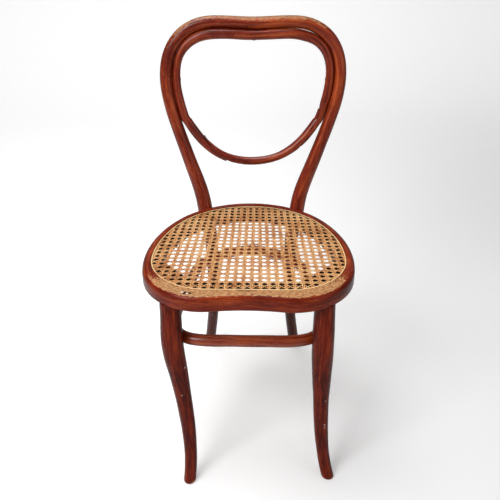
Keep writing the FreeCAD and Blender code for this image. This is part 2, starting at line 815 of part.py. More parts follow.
def seat_washer(name, side):
    """A flat ring between the rim's inner wall and the nut."""
    start, outward = on_seat_joint(side, NUT_PLANE)
    disc = rod(f"{name}_disc", start, outward, "Sizes.washer_radius", "Sizes.washer_thickness")
    return cut(name, disc, [bolt_bore(f"{name}_bore", side)])


def seat_nut(name, side):
    """A six-sided nut that bears on the washer."""
    start, outward = on_seat_joint(side, NUT_PLANE - size("nut_thickness"))
    corner = f"Sizes.nut_across_flats / 2 / {math.cos(math.radians(30))}"
    block = add("Part::Prism", f"{name}_block", Circumradius=corner, Height="Sizes.nut_thickness")
    block.Polygon = 6
    block.Placement = along(start, outward)
    return cut(name, block, [bolt_bore(f"{name}_bore", side)])


def bolt_bore(name, side):
    """The hole that a seat bolt runs in, through everything it joins."""
    start, outward = on_seat_joint(side, BOLT_END - size("bolt_tail"))
    length = HEAD_PLANE - BOLT_END + 2 * size("bolt_tail")
    radius = "Sizes.bolt_shank_radius + Sizes.bolt_clearance"
    return rod(name, start, outward, radius, str(length))


def head_spot(name, side):
    """The flat spot on the back of the post that the bolt head lies on."""
    start, outward = on_seat_joint(side, HEAD_PLANE)
    wide = "Sizes.bolt_head_radius + Sizes.spot_clearance"
    return rod(name, start, outward, wide, "Sizes.post_radius")


def washer_spot(name, side):
    """The flat spot in the rim's inner wall that the washer lies on."""
    start, outward = on_seat_joint(side, WASHER_PLANE)
    wide = "Sizes.washer_radius + Sizes.spot_clearance"
    return rod(name, start, outward * -1, wide, "Sizes.washer_radius * 2")


# Front legs: turned, tapered and bent forward at the foot


def share_below(top, height):
    """How far down from a height to the floor, from 0 to 1."""
    return max(0.0, (top - height) / top)


def leg_half_thickness():
    """Heights down the leg, each with half the thickness there."""
    ring = size("ring_height")
    belly = size("leg_belly_radius")
    neck = (size("leg_top_radius") + belly) / 2
    return [
        (RIM_BOTTOM, size("leg_top_radius")),
        (ring + 0.55 * (RIM_BOTTOM - ring), neck),
        (ring, belly),
        (0.8 * ring, 0.92 * belly),
        (0.59 * ring, size("leg_shin_radius")),
        (0.42 * ring, (size("leg_shin_radius") + size("leg_ankle_radius")) / 2),
        (0.28 * ring, size("leg_ankle_radius")),
        (0.12 * ring, size("leg_foot_radius")),
        (0, size("leg_foot_radius")),
        (-0.06 * ring, size("leg_foot_radius")),
    ]


def leg_points(side, word):
    """The middle of a front leg from the rim to just below the floor."""
    upper = size("ring_height") + size("ring_radius")
    lower = size("ring_height") - size("ring_radius")
    points = []
    for height, radius in leg_half_thickness():
        forward = size(f"leg_sweep_{word}") * share_below(upper, height) ** SWEEP_POWER
        share = share_below(lower, height)
        flare = size("foot_flare") * share**FLARE_POWER
        out = size("leg_half_spacing") + size(f"leg_lean_{word}") * share + flare
        points.append(Vector(side * out, -size("leg_front_reach") - forward, height))
    return points


def front_leg(side, word, below, holes):
    """A front leg with its round tenon on top."""
    name = f"front_leg_{word}"
    radii = [radius for height, radius in leg_half_thickness()]
    stick = bent_stick(name, smooth(leg_points(side, word)), radii, Vector(1, 0, 0))
    level = cut(f"{name}_level", stick, [below])
    worn = rounded_feet(f"{name}_worn", level)
    root = size("tenon_root")
    top = Vector(side * size("leg_half_spacing"), -size("leg_front_reach"), RIM_BOTTOM - root)
    length = "Sizes.tenon_length + Sizes.tenon_root"
    tenon = rod(f"{name}_tenon", top, Vector(0, 0, 1), "Sizes.tenon_radius", length)
    leg = doc.addObject("Part::Fuse", f"{name}_with_tenon")
    leg.Base = worn
    leg.Tool = tenon
    return cut(name, leg, holes)


# The leg ring: a round stick bent into a rounded frame inside the four legs


def bridge_centre(one, one_radius, two, two_radius, radius):
    """Centre of the wide bend that runs smoothly into two tighter bends."""
    first = radius - one_radius
    second = radius - two_radius
    across = two - one
    distance = across.Length
    step = (first**2 - second**2 + distance**2) / (2 * distance)
    height = math.sqrt(first**2 - step**2)
    direction = across * (1 / distance)
    side = Vector(-direction.y, direction.x, 0)
    return one + direction * step + side * height


def angle_of(start, end):
    """Direction from one point to another, in degrees from +X."""
    return math.degrees(math.atan2(end.y - start.y, end.x - start.x))


def ring_corners():
    """Centres of the ring's tight bends on the right, from the legs it lies against."""
    leg = Vector(size("leg_half_spacing"), -size("leg_front_reach"), 0)
    reach = size("leg_belly_radius") + size("ring_seat_gap") + size("ring_radius")
    inward = polar(HALF_TURN - size("ring_front_contact"))
    front = leg + inward * (reach + size("ring_front_corner_radius"))
    middle, radius = rear_leg_at(size("ring_height"))
    reach = radius + size("ring_seat_gap") + size("ring_radius")
    inward = polar(HALF_TURN + size("ring_rear_contact"))
    rear = Vector(middle.x, middle.y, 0) + inward * (reach + size("ring_rear_corner_radius"))
    return front, rear


def ring_outline():
    """The middle line of the ring: four tight bends joined by four wide ones."""
    front, rear = ring_corners()
    front_radius = size("ring_front_corner_radius")
    rear_radius = size("ring_rear_corner_radius")
    bar = size("ring_front_radius")
    back = size("ring_rear_radius")
    side_radius = size("ring_side_radius")
    bar_centre = Vector(0, front.y + math.sqrt((bar - front_radius) ** 2 - front.x**2), 0)
    back_centre = Vector(0, rear.y - math.sqrt((back - rear_radius) ** 2 - rear.x**2), 0)
    side_centre = bridge_centre(front, front_radius, rear, rear_radius, side_radius)
    bar_end = angle_of(bar_centre, front)
    side_start = angle_of(side_centre, front)
    side_end = angle_of(side_centre, rear)
    back_end = angle_of(back_centre, rear)
    front_corner, front_other = mirrored(front, front_radius, bar_end, side_start)
    side, side_other = mirrored(side_centre, side_radius, side_start, side_end)
    rear_corner, rear_other = mirrored(rear, rear_radius, side_end, back_end)
    front_bar = arc(bar_centre, bar, -HALF_TURN - bar_end, bar_end)
    rear_bar = arc(back_centre, back, back_end, HALF_TURN - back_end)
    others = [rear_other, side_other, front_other]
    return [rear_bar] + others + [front_bar, front_corner, side, rear_corner]


def leg_ring_sweep():
    """The round stick carried round the ring's middle line."""
    path = plain("ring_path", outline_wire(ring_outline(), size("ring_height")))
    start = path.Shape.Edges[0]
    tangent = start.tangentAt(start.FirstParameter)
    point = start.valueAt(start.FirstParameter)
    circle = section("ring_section", point, tangent, size("ring_radius"), Vector(0, 0, 1))
    circle.setExpression("Radius", "Sizes.ring_radius")
    sweep = doc.addObject("Part::Sweep", "ring_sweep")
    sweep.Sections = [circle]
    edges = [f"Edge{index}" for index in range(1, len(path.Shape.Edges) + 1)]
    sweep.Spine = (path, edges)
    sweep.Solid = True
    sweep.Frenet = False
    return sweep


def ring_screw_lines():
    """Where the ring is screwed to the legs: start inside the ring, and direction."""
    height = size("ring_height")
    radius = size("ring_radius")
    lines = []
    for side in (-1, 1):
        leg = Vector(side * size("leg_half_spacing"), -size("leg_front_reach"), height)
        turn = HALF_TURN - size("ring_front_contact")
        outward = polar(turn) * -1
        reach = size("leg_belly_radius") + size("ring_seat_gap") + 2 * radius
        lines.append((leg, outward, reach, side))
        middle, leg_radius = rear_leg_at(height)
        leg = Vector(side * middle.x, middle.y, height)
        outward = polar(HALF_TURN + size("ring_rear_contact")) * -1
        lines.append((leg, outward, leg_radius + size("ring_seat_gap") + 2 * radius, side))
    result = []
    for leg, outward, reach, side in lines:
        direction = Vector(side * outward.x, outward.y, 0)
        result.append((leg - direction * reach, direction, 2 * radius + size("ring_seat_gap")))
    return result


# Cane: strands laid front to back, side to side and on both diagonals


def straight_strand(edge):
    """A flat strand along a straight line, as a thin strip."""
    one, two = [vertex.Point for vertex in edge.Vertexes]
    strip = Part.makeBox(edge.Length, size("strand_width"), size("strand_thickness"))
    strip.translate(Vector(0, -size("strand_width") / 2, 0))
    turn = Rotation(Vector(1, 0, 0), two - one)
    strip.Placement = Placement(one, turn).multiply(strip.Placement)
    return strip


def curved_strand(edge):
    """A flat strand along part of a circle."""
    start, end = edge.ParameterRange
    edges = []
    for side in (-1, 1):
        circle = edge.Curve.copy()
        circle.Radius = circle.Radius + side * size("strand_width") / 2
        edges.append(Part.ArcOfCircle(circle, start, end).toShape())
    inner, outer = edges
    for place in (0, 1):
        ends = [inner.Vertexes[place].Point, outer.Vertexes[place].Point]
        edges.append(Part.LineSegment(*ends).toShape())
    outline = Part.Wire(Part.__sortEdges__(edges))
    return Part.Face(outline).extrude(Vector(0, 0, size("strand_thickness")))


def layer_bottom(layer):
    """Height of the underside of a layer of strands, counted up from the ledge."""
    step = size("strand_thickness") + size("strand_lift")
    return LEDGE + size("strand_lift") + layer * step


def strands(name, lines, layer):
    """One layer of strands, each cut to the place where it is tied down."""
    ends = Part.Face(outline_wire(cane_outline(size("strand_end_gap")), 0))
    solids = []
    for line in lines:
        for edge in line.toShape().common(ends).Edges:
            if edge.Length < size("cane_row_pitch"):
                continue
            straight = isinstance(edge.Curve, Part.Line)
            strip = straight_strand(edge) if straight else curved_strand(edge)
            strip.translate(Vector(0, 0, layer_bottom(layer)))
            solids.append(strip)
    thing = plain(name, Part.makeCompound(solids))
    thing.Label = name
    return thing


def on_fan(column, y):
    """A place on the weave: the columns spread a little towards the front."""
    front = -size("cane_front_reach")
    rear = size("rim_rear_reach") - size("cane_inset")
    share = (y - front) / (rear - front)
    pitch = size("cane_front_pitch") + (size("cane_rear_pitch") - size("cane_front_pitch")) * share
    return Vector(column * pitch, y, 0)


def row_y(row):
    """Where a side-to-side pair runs, counted from the front edge of the cane."""
    return -size("cane_front_reach") + row * size("cane_row_pitch")


REACH = size("rim_rear_reach")
COLUMNS = int(REACH / size("cane_rear_pitch"))
ROWS = int((REACH + size("cane_front_reach")) / size("cane_row_pitch"))


def column_lines(shift):
    """Lines of one strand of each front-to-back pair."""
    aside = Vector(shift, 0, 0)
    lines = []
    for index in range(-COLUMNS, COLUMNS):
        column = index + 0.5
        one = on_fan(column, -REACH) + aside
        lines.append(Part.LineSegment(one, on_fan(column, REACH) + aside))
    return lines


def row_lines(shift):
    """Lines of one strand of each side-to-side pair."""
    aside = Vector(2 * REACH, 0, 0)
    lines = []
    for row in range(2, ROWS):
        middle = Vector(0, row_y(row) + shift, 0)
        lines.append(Part.LineSegment(middle - aside, middle + aside))
    return lines


def diagonal_lines(side):
    """Bends of the diagonals, which cross each pair half way between two others."""
    lines = []
    for start in range(-COLUMNS - ROWS, COLUMNS + ROWS + 1):
        places = []
        for row in (0, ROWS / 2, ROWS):
            places.append(on_fan(start + side * row, row_y(row)))
        lines.append(Part.Arc(*places))
    return lines


def binding():
    """The strip of cane that covers the ends of the strands all the way round."""
    bottom = layer_bottom(6)
    top = bottom + size("binding_thickness")
    outer = outline_prism(cane_outline(size("binding_gap")), bottom, top)
    width = size("binding_gap") + size("binding_width")
    inner = outline_prism(cane_outline(width), bottom - 1, top + 1)
    thing = plain("cane_binding", outer.cut(inner))
    return thing


# Putting the chair together


def build():
    """All the pieces of the chair, by the name of their node."""
    sides = {"left": 1, "right": -1}
    below = floor_block()
    ring_lines = ring_screw_lines()
    hoop_lines = hoop_screw_lines()
    ring_holes = [screw_hole(f"ring_hole_{n}", *line) for n, line in enumerate(ring_lines, 1)]
    hoop_holes = [screw_hole(f"hoop_hole_{n}", *line) for n, line in enumerate(hoop_lines, 1)]
    bores = [bolt_bore(f"seat_bore_{word}", side) for word, side in sides.items()]
    head_spots = [head_spot(f"head_spot_{word}", side) for word, side in sides.items()]
    washer_spots = [washer_spot(f"washer_spot_{word}", side) for word, side in sides.items()]
    pieces = {}

    back = bent_stick("back", BACK_CURVE, BACK_RADII, Vector(0, -1, 0))
    level = cut("back_level", back, [below])
    worn = rounded_feet("back_worn", level)
    notch = plain("rim_notch", outline_prism(rim_outline(), RIM_BOTTOM, size("seat_height")))
    rear_ring_holes = [ring_holes[1], ring_holes[3]]
    tools = [notch] + bores + head_spots + rear_ring_holes + hoop_holes
    pieces["back_frame"] = cut("back_frame", worn, tools)

    world = HOOP_CURVE.copy()
    world.transform(HOOP_PLACE.toMatrix())
    across = HOOP_PLACE.Rotation.multVec(Vector(0, 0, 1))
    block = scarf_block()
    start, end = hoop_place(LEFT_OUTER_TIP), hoop_place(ONE_LAP + RIGHT_OUTER_TIP)
    upper = bent_stick("hoop_upper", world, HOOP_RADII, across, start, end, tip_lift)
    pieces["hoop_upper"] = cut("hoop_upper", upper, [block] + hoop_holes)
    start, end = hoop_place(RIGHT_INNER_TIP), hoop_place(LEFT_INNER_TIP)
    lower = bent_stick("hoop_lower", world, HOOP_RADII, across, start, end)
    pieces["hoop_lower"] = common("hoop_lower", lower, block)

    rim = seat_rim_body()
    pieces["seat_frame"] = cut("seat_frame", rim, bores + washer_spots)

    for word, side in sides.items():
        hole = ring_holes[0] if side < 0 else ring_holes[2]
        pieces[f"front_leg_{word}"] = front_leg(side, word, below, [hole])

    pieces["leg_ring"] = cut("leg_ring", leg_ring_sweep(), ring_holes)
    ring_screws = [screw(f"ring_screw_{n}", *line) for n, line in enumerate(ring_lines, 1)]
    pieces["ring_screws"] = group("ring_screws", ring_screws)
    hoop_screws = [screw(f"hoop_screw_{n}", *line) for n, line in enumerate(hoop_lines, 1)]
    pieces["hoop_screws"] = group("hoop_screws", hoop_screws)
    bolts = [seat_bolt(f"seat_bolt_{word}", side) for word, side in sides.items()]
    pieces["seat_bolts"] = group("seat_bolts", bolts)
    washers = [seat_washer(f"seat_washer_{word}", side) for word, side in sides.items()]
    pieces["seat_washers"] = group("seat_washers", washers)
    nuts = [seat_nut(f"seat_nut_{word}", side) for word, side in sides.items()]
    pieces["seat_nuts"] = group("seat_nuts", nuts)

    half = size("cane_pair_gap") / 2
    layers = [
        ("cane_lengthwise_first", column_lines(-half)),
        ("cane_crosswise_first", row_lines(half)),
        ("cane_lengthwise_second", column_lines(half)),
        ("cane_crosswise_second", row_lines(-half)),
        ("cane_diagonal_left", diagonal_lines(-1)),
        ("cane_diagonal_right", diagonal_lines(1)),
    ]
    for layer, (name, lines) in enumerate(layers):
        pieces[name] = strands(name, lines, layer)
    pieces["cane_binding"] = binding()
    return pieces


def check(pieces):
    """Stops if any object failed or any piece is empty or not valid."""
    for thing in doc.Objects:
        if "Invalid" in thing.State or "Error" in thing.State:
            raise RuntimeError(f"{thing.Name} failed: {thing.State}")
    for name, piece in pieces.items():
        shape = piece.Shape
        if shape.isNull() or not shape.isValid() or shape.Volume <= 0:
            raise RuntimeError(f"{name} has no valid shape")


def centre_on_floor(pieces):
    """Moves every piece so that the origin lies under the middle of the chair's outline."""
    box = FreeCAD.BoundBox()
    for piece in pieces.values():
        box.add(piece.Shape.optimalBoundingBox(False))
    shift = Vector(-box.Center.x, -box.Center.y, 0)
    for piece in pieces.values():
        piece.Placement.Base = piece.Placement.Base + shift
    return shift


def write(pieces):
    """One file for each piece, named after its node."""
    os.makedirs("parts", exist_ok=True)
    for name, piece in pieces.items():
        piece.Label = name
        piece.Shape.exportStep(f"parts/{name}.step")


chair = build()
doc.recompute()
check(chair)
moved = centre_on_floor(chair)
write(chair)
for name, piece in chair.items():
    print(f"{name}: {len(piece.Shape.Solids)} solids, {piece.Shape.Volume / 1000:.1f} cm3")
print(f"moved by {moved.x:.2f}, {moved.y:.2f}")
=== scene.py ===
# %% [markdown]
# # A bentwood bistro chair with a hand-caned seat
# The real chair is a handful of beech sticks, softened in steam and bent round
# moulds, screwed to a seat rim whose opening is woven with split cane. The packed
# model is the fixed frame: it says where each piece is and how large. This lesson
# builds the finer skin over it: sticks whose grain follows the bend, cane that
# really goes over and under, and old varnish.

# %% Load the fixed frame
import math

import bpy
import numpy as np
from mathutils import Matrix, Vector


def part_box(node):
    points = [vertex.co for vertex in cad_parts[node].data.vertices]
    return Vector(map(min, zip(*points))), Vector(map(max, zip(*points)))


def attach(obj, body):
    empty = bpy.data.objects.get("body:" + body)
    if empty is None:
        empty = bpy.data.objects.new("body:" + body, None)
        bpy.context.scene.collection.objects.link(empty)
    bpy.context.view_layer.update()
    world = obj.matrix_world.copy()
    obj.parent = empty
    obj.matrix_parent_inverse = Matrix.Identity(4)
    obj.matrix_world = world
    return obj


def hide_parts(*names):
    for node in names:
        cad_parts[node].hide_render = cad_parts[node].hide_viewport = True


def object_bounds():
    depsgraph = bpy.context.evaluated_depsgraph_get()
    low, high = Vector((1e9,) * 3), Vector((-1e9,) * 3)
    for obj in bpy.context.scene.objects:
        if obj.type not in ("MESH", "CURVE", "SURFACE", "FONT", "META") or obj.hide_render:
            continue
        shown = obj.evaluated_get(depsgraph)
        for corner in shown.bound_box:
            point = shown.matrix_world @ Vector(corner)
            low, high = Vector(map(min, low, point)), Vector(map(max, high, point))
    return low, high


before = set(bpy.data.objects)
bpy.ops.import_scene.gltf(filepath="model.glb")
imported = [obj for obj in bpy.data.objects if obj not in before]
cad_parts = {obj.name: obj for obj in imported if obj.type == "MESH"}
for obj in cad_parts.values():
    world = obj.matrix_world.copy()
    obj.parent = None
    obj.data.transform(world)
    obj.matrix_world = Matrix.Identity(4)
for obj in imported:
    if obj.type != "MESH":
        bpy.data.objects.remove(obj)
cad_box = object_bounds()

MM = 0.001
print("nodes:", len(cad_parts))

# %% [markdown]
# Every piece is drawn about the middle of the seat, as the maker would measure it.
# The frame's origin is under the middle of the whole outline instead, so the rear
# of the seat rim tells how far the two are apart.

# %% Sizes shared by several pieces, in millimetres
SEAT_TOP = 461.0
RIM_HEIGHT = 34.5
RIM_BOTTOM = SEAT_TOP - RIM_HEIGHT
RIM_REAR_REACH = 213.6
RIM_SIDE_RADIUS = 303.0
SIDE_CENTRE = np.array([-84.3, -43.6])
JOINT_HEIGHT = SEAT_TOP - RIM_HEIGHT / 2
LEAN = math.radians(9.8)
SEAT_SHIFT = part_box("seat_frame")[1][1] / MM - RIM_REAR_REACH


def rear_bend(rear_inset, side_inset):
    """Centre and radius of the seat's rear bend, and the angle where the sides begin."""
    side_radius = RIM_SIDE_RADIUS - side_inset
    reach = RIM_REAR_REACH - rear_inset
    spare = side_radius + SIDE_CENTRE[1] - reach
    join = 90 - 2 * math.degrees(math.atan2(spare, -SIDE_CENTRE[0]))
    radius = side_radius + SIDE_CENTRE[0] / math.cos(math.radians(join))
    return reach - radius, radius, join


REAR_CENTRE_Y, RIM_REAR_RADIUS, REAR_JOIN = rear_bend(0, 0)
print("seat middle from the origin, mm:", round(SEAT_SHIFT, 2))
print("rear bend of the rim, mm:", round(RIM_REAR_RADIUS, 1))

# %% [markdown]
# ## The camera
# The photograph looks down on the chair from standing height. The camera stands
# where lines through the feet, the level seat and the leg ring meet in the picture.

# %% Camera
CAMERA_PLACE = Vector((29.9, -1161.6 + SEAT_SHIFT, 1125.35)) * MM
CAMERA_PITCH = 30.17
CAMERA_TURN = 1.38
CAMERA_ROLL = -0.27
CAMERA_LENS = 45.08


def make_camera():
    """The camera of the photograph."""
    camera = bpy.data.objects.new("camera", bpy.data.cameras.new("camera"))
    bpy.context.scene.collection.objects.link(camera)
    turn = Matrix.Rotation(math.radians(CAMERA_TURN), 3, "Z")
    pitch = Matrix.Rotation(math.radians(90 - CAMERA_PITCH), 3, "X")
    roll = Matrix.Rotation(math.radians(CAMERA_ROLL), 3, "Z")
    camera.matrix_world = Matrix.Translation(CAMERA_PLACE) @ (turn @ pitch @ roll).to_4x4()
    camera.data.lens = CAMERA_LENS
    camera.data.sensor_width = 36
    camera.data.clip_end = 50
    bpy.context.scene.camera = camera
    return camera


print("camera at, m:", tuple(round(v, 3) for v in make_camera().location))

# %% [markdown]
# ## A smooth line through a few points
# A bent stick has no corners: steam lets it take one flowing curve. A cubic spline
# through a few measured points gives that curve. It needs one small set of equations,
# which says that slope and bend agree on both sides of each point.


# %% Smooth line
def lengths_along(path, closed=False):
    """How far along a path each of its points lies."""
    if closed:
        return np.cumsum(np.linalg.norm(path - np.roll(path, 1, axis=0), axis=1))
    return np.concatenate([[0], np.cumsum(np.linalg.norm(np.diff(path, axis=0), axis=1))])


def spline_bend(knots, values, closed):
    """How much the spline bends at each point (its second derivative)."""
    count = len(knots) - 1 if closed else len(knots)
    step = np.diff(knots)
    slope = np.diff(values, axis=0) / step[:, None]
    matrix = np.eye(count)
    right = np.zeros((count, values.shape[1]))
    for i in range(0 if closed else 1, count if closed else count - 1):
        before, after = step[i - 1], step[i]
        matrix[i, i] = 2 * (before + after)
        matrix[i, (i - 1) % count] += before
        matrix[i, (i + 1) % count] += after
        right[i] = 6 * (slope[i] - slope[i - 1])
    bend = np.linalg.solve(matrix, right)
    return np.vstack([bend, bend[:1]]) if closed else bend


class SmoothLine:
    """A spline through points, which may carry more columns, such as a radius."""

    def __init__(self, points, closed=False):
        values = np.array(points, float)
        if closed:
            values = np.vstack([values, values[:1]])
        self.knots = lengths_along(values[:, :3])
        self.values = values
        self.closed = closed
        self.bend = spline_bend(self.knots, values, closed)

    def at(self, places, order=0):
        """Values at places along the line, or their slope when order is 1."""
        span = self.knots[-1]
        places = np.mod(places, span) if self.closed else np.asarray(places, float)
        i = np.clip(np.searchsorted(self.knots, places, "right") - 1, 0, len(self.knots) - 2)
        width = (self.knots[i + 1] - self.knots[i])[:, None]
        b = (places - self.knots[i])[:, None] / width
        a = 1 - b
        low, high = self.values[i], self.values[i + 1]
        bend_low, bend_high = self.bend[i], self.bend[i + 1]
        if order:
            lift = (1 - 3 * a**2) * bend_low + (3 * b**2 - 1) * bend_high
            return (high - low) / width + lift * width / 6
        lift = (a**3 - a) * bend_low + (b**3 - b) * bend_high
        return a * low + b * high + lift * width**2 / 6

    def places(self, step):
        """Places spaced about a step apart, from one end to the other."""
        count = int(round(self.knots[-1] / step))
        return np.linspace(0, self.knots[-1], count + 1)[: count if self.closed else None]


print("spline through a square:", SmoothLine([(0, 0, 0), (1, 0, 0), (1, 1, 0)]).at([1.5])[0])

# %% [markdown]
# ## From corners to a piece
# Every piece is a mesh: corners and the faces between them. Two things more are kept
# at each corner where a finish needs them: where it lay **before the stick was bent**,
# and how near it lies to the edge of a strand, where painted shade darkens it. Each
# new piece hides the part of the packed model that it stands for.

# %% Pieces
STRAIGHT = "straight"
TOWARD_EDGE = "toward_edge"
SHARP_ANGLE = math.radians(38)


def mark_corners(mesh, name, values):
    """Keeps one number at each corner of a mesh, for a finish to read."""
    layer = mesh.attributes.new(name, "FLOAT", "POINT")
    layer.data.foreach_set("value", np.asarray(values, np.float32))


def new_piece(name, node, slot, corners, faces, straight=None, edges=None):
    """A piece of the chair from its corners in millimetres, kept inside the frame's box."""
    mesh = bpy.data.meshes.new(name)
    moved = (np.asarray(corners, float) + [0, SEAT_SHIFT, 0]) * MM
    moved = np.clip(moved, *np.array(cad_box))
    mesh.from_pydata(moved.tolist(), [], [list(face) for face in faces])
    if straight is not None:
        layer = mesh.attributes.new(STRAIGHT, "FLOAT_VECTOR", "POINT")
        layer.data.foreach_set("vector", (np.asarray(straight, np.float32) * MM).ravel())
    if edges is not None:
        mark_corners(mesh, TOWARD_EDGE, edges)
    mesh.polygons.foreach_set("use_smooth", [True] * len(mesh.polygons))
    mesh.set_sharp_from_angle(angle=SHARP_ANGLE)
    mesh.update()
    piece = bpy.data.objects.new(name, mesh)
    bpy.context.scene.collection.objects.link(piece)
    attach(piece, "root")
    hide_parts(node)
    return piece


def joined(parts):
    """Corners and faces of several parts, counted on as one mesh."""
    faces, start = [], 0
    for corners, sides in parts:
        faces += [tuple(start + i for i in face) for face in sides]
        start += len(corners)
    return np.vstack([corners for corners, sides in parts]), faces


print("corners sharper than this stay sharp, degrees:", round(math.degrees(SHARP_ANGLE)))

# %% [markdown]
# ### Skins and directions
# A stick, a strand and the rim are all skinned the same way: rings of corners one behind
# the other, with quads between them. To set a ring square to its line, directions have
# to be of length one, and a level line needs the direction across it.

# %% Skins and directions
def tube_faces(rings, around, closed=False):
    """Quads between rings of corners, with a cap on each open end."""
    faces = []
    for ring in range(rings if closed else rings - 1):
        here, there = ring * around, (ring + 1) % rings * around
        for i in range(around):
            j = (i + 1) % around
            faces.append((here + i, here + j, there + j, there + i))
    if not closed:
        faces.append(tuple(range(around))[::-1])
        faces.append(tuple((rings - 1) * around + i for i in range(around)))
    return faces


def unit(vectors):
    """Vectors of length one."""
    return vectors / np.linalg.norm(vectors, axis=-1, keepdims=True)


def across_path(path, closed=False):
    """Level directions square to a level path, to the right of its run."""
    step = np.roll(path, -1, axis=0) - np.roll(path, 1, axis=0) if closed else np.gradient(path, axis=0)
    run = unit(step)
    return np.column_stack([run[:, 1], -run[:, 0]])


print("faces of a tube with 3 rings of 8:", len(tube_faces(3, 8)))

# %% [markdown]
# ### The mark of the hand
# A stick that was scraped and sanded by hand is never quite round or straight. A few
# long slow waves, a fifth of a millimetre high, are added to its radius. They are drawn
# from a fixed seed, so the same stick comes out each time.

# %% Unevenness
UNEVEN_WAVES = (310.0, 140.0, 67.0)


def hand_made(along, angle, seed, size=0.2):
    """The slight unevenness of a stick, at places along it and angles round it."""
    rng = np.random.default_rng(seed)
    total = np.zeros(np.broadcast(along, angle).shape)
    for turns in range(4):
        for wave in UNEVEN_WAVES:
            phase = rng.uniform(0, 2 * math.pi, 2)
            total += np.sin(turns * angle + phase[0]) * np.sin(2 * math.pi * along / wave + phase[1])
    return total * size / 3


print("unevenness, mm:", round(float(hand_made(np.arange(500.0), 0.4, 1).std()), 3))

# %% [markdown]
# ### From a line to a stick
# A bevelled curve would be quick, but it can't taper, end in a level foot or keep its
# grain. So a stick is skinned with rings of corners, set square to its middle line.
# Each corner remembers how far out from the heart and how far along it lay when the
# stick was straight. The grain is drawn in that straightened space and flows round
# every bend as in real bentwood. Rings near a foot are tilted until they lie level.

# %% Rings round a line
FOOT_ROUND = 5.0
FOOT_TOP = 30.0
FOOT_STEPS, FOOT_SEARCH = 7, 80.0
STICK_STEP = 4.0
FAR_OUT = 99.0


def rings(line, places, sides, around, seed, shrink=0.0, keep=(-FAR_OUT, FAR_OUT)):
    """Rings of corners, and where each corner was before the stick was bent."""
    values = line.at(places)
    centres, radii = values[:, :3], values[:, 3] - shrink
    tangent = unit(line.at(places, 1)[:, :3])
    side = unit(sides - tangent * np.sum(tangent * sides, axis=1, keepdims=True))
    up = np.cross(tangent, side)
    angle = np.linspace(0, 2 * math.pi, around, endpoint=False)[None, :]
    radius = radii[:, None] + hand_made(places[:, None], angle, seed)
    x = np.clip(radius * np.cos(angle), np.reshape(keep[0], (-1, 1)), np.reshape(keep[1], (-1, 1)))
    y = radius * np.sin(angle)
    out = x[..., None] * side[:, None] + y[..., None] * up[:, None]
    level = np.clip((FOOT_TOP - centres[:, 2]) / (FOOT_TOP - 2 * FOOT_ROUND), 0, 1)[:, None]
    upward = np.where(tangent[:, 2:3] < 0, -tangent, tangent)
    normal = unit((1 - level) * upward + level * np.array([0, 0, 1.0]))
    slide = np.einsum("rak,rk->ra", out, normal) / np.sum(tangent * normal, axis=1, keepdims=True)
    out = out - slide[..., None] * tangent[:, None]
    along = np.broadcast_to(places[:, None], x.shape)
    corners = (centres[:, None] + out).reshape(-1, 3)
    return corners, np.stack([x, y, along], axis=-1).reshape(-1, 3)


def foot_places(line, last):
    """Places near one end whose rings lie at the heights of a rounded foot edge."""
    fine = np.linspace(0, FOOT_SEARCH, 800)
    fine = line.knots[-1] - fine if last else fine
    height = line.at(fine)[:, 2]
    lean = np.linspace(0, math.pi / 2, FOOT_STEPS)
    levels = FOOT_ROUND * (1 - np.sin(lean))
    return np.interp(levels, height, fine), FOOT_ROUND * (1 - np.cos(lean))


def with_feet(line):
    """Places along the whole line, ending in a foot wherever the line goes below the floor."""
    places = line.places(STICK_STEP)
    body = places[line.at(places)[:, 2] > 2 * FOOT_ROUND]
    shrink = np.zeros(len(body))
    if line.at([0])[0, 2] < 0:
        foot, less = foot_places(line, last=False)
        body, shrink = np.concatenate([foot[::-1], body]), np.concatenate([less[::-1], shrink])
    if line.at([line.knots[-1]])[0, 2] < 0:
        foot, less = foot_places(line, last=True)
        body, shrink = np.concatenate([body, foot]), np.concatenate([shrink, less])
    return body, shrink


print("rings that round off a foot:", FOOT_STEPS)

# %% [markdown]
# ## The back: one long stick
# A single stick, some two metres long, makes the bow of the back, both posts and both
# rear legs. The back leans to the rear as a flat plane, and with age also a little to
# one side. So the bow is measured flat, up that plane, and then laid on it.

# %% The leaning back
BACK_HEIGHT = 883.0
BACK_SIDE_LEAN = 6.8
POST_RADIUS = 17.6
POST_HALF_SPACING = 109.0
POST_NOTCH = 8.0
POST_DISTANCE = RIM_REAR_RADIUS + POST_RADIUS - POST_NOTCH
POST_Y = REAR_CENTRE_Y + math.sqrt(POST_DISTANCE**2 - POST_HALF_SPACING**2)
SIDE_LEAN_POWER = 1.5


def rise_of(height):
    """Distance up the leaning back of a height above the floor."""
    return (height - JOINT_HEIGHT) / math.cos(LEAN)


def leaned(x, rise):
    """A point of the flat back, moved over a little more the higher it is."""
    share = max(0.0, rise / rise_of(BACK_HEIGHT))
    return x + BACK_SIDE_LEAN * share**SIDE_LEAN_POWER, rise


def on_back(x, rise):
    """A point of the leaning back."""
    return [x, POST_Y + rise * math.sin(LEAN), JOINT_HEIGHT + rise * math.cos(LEAN)]


print("top of the back, mm up its lean:", round(rise_of(BACK_HEIGHT), 1))

# %% [markdown]
# ### The bow
# The bow is a little flat on top, with a shallow dip in its middle, widest at shoulder
# height, and thicker where it comes down to the posts. One side is given as shares of
# its size; the other is the same side mirrored.

# %% Bow
BOW_HALF_WIDTH = 209.0
BOW_WIDEST_HEIGHT = 749.0
BOW_DIP = 2.4
BOW_TOP_RADIUS = 13.0
BOW_SIDE_RADIUS = 13.8
LOBE_SHARE = 0.40
SHOULDER_SHARES = [(0.575, 0.023), (0.77, 0.15), (0.93, 0.44)]
FLANK_SHARES = [(0.804, 0.727, 1.02), (0.627, 0.577, 1.04), (0.350, 0.360, 1.12)]


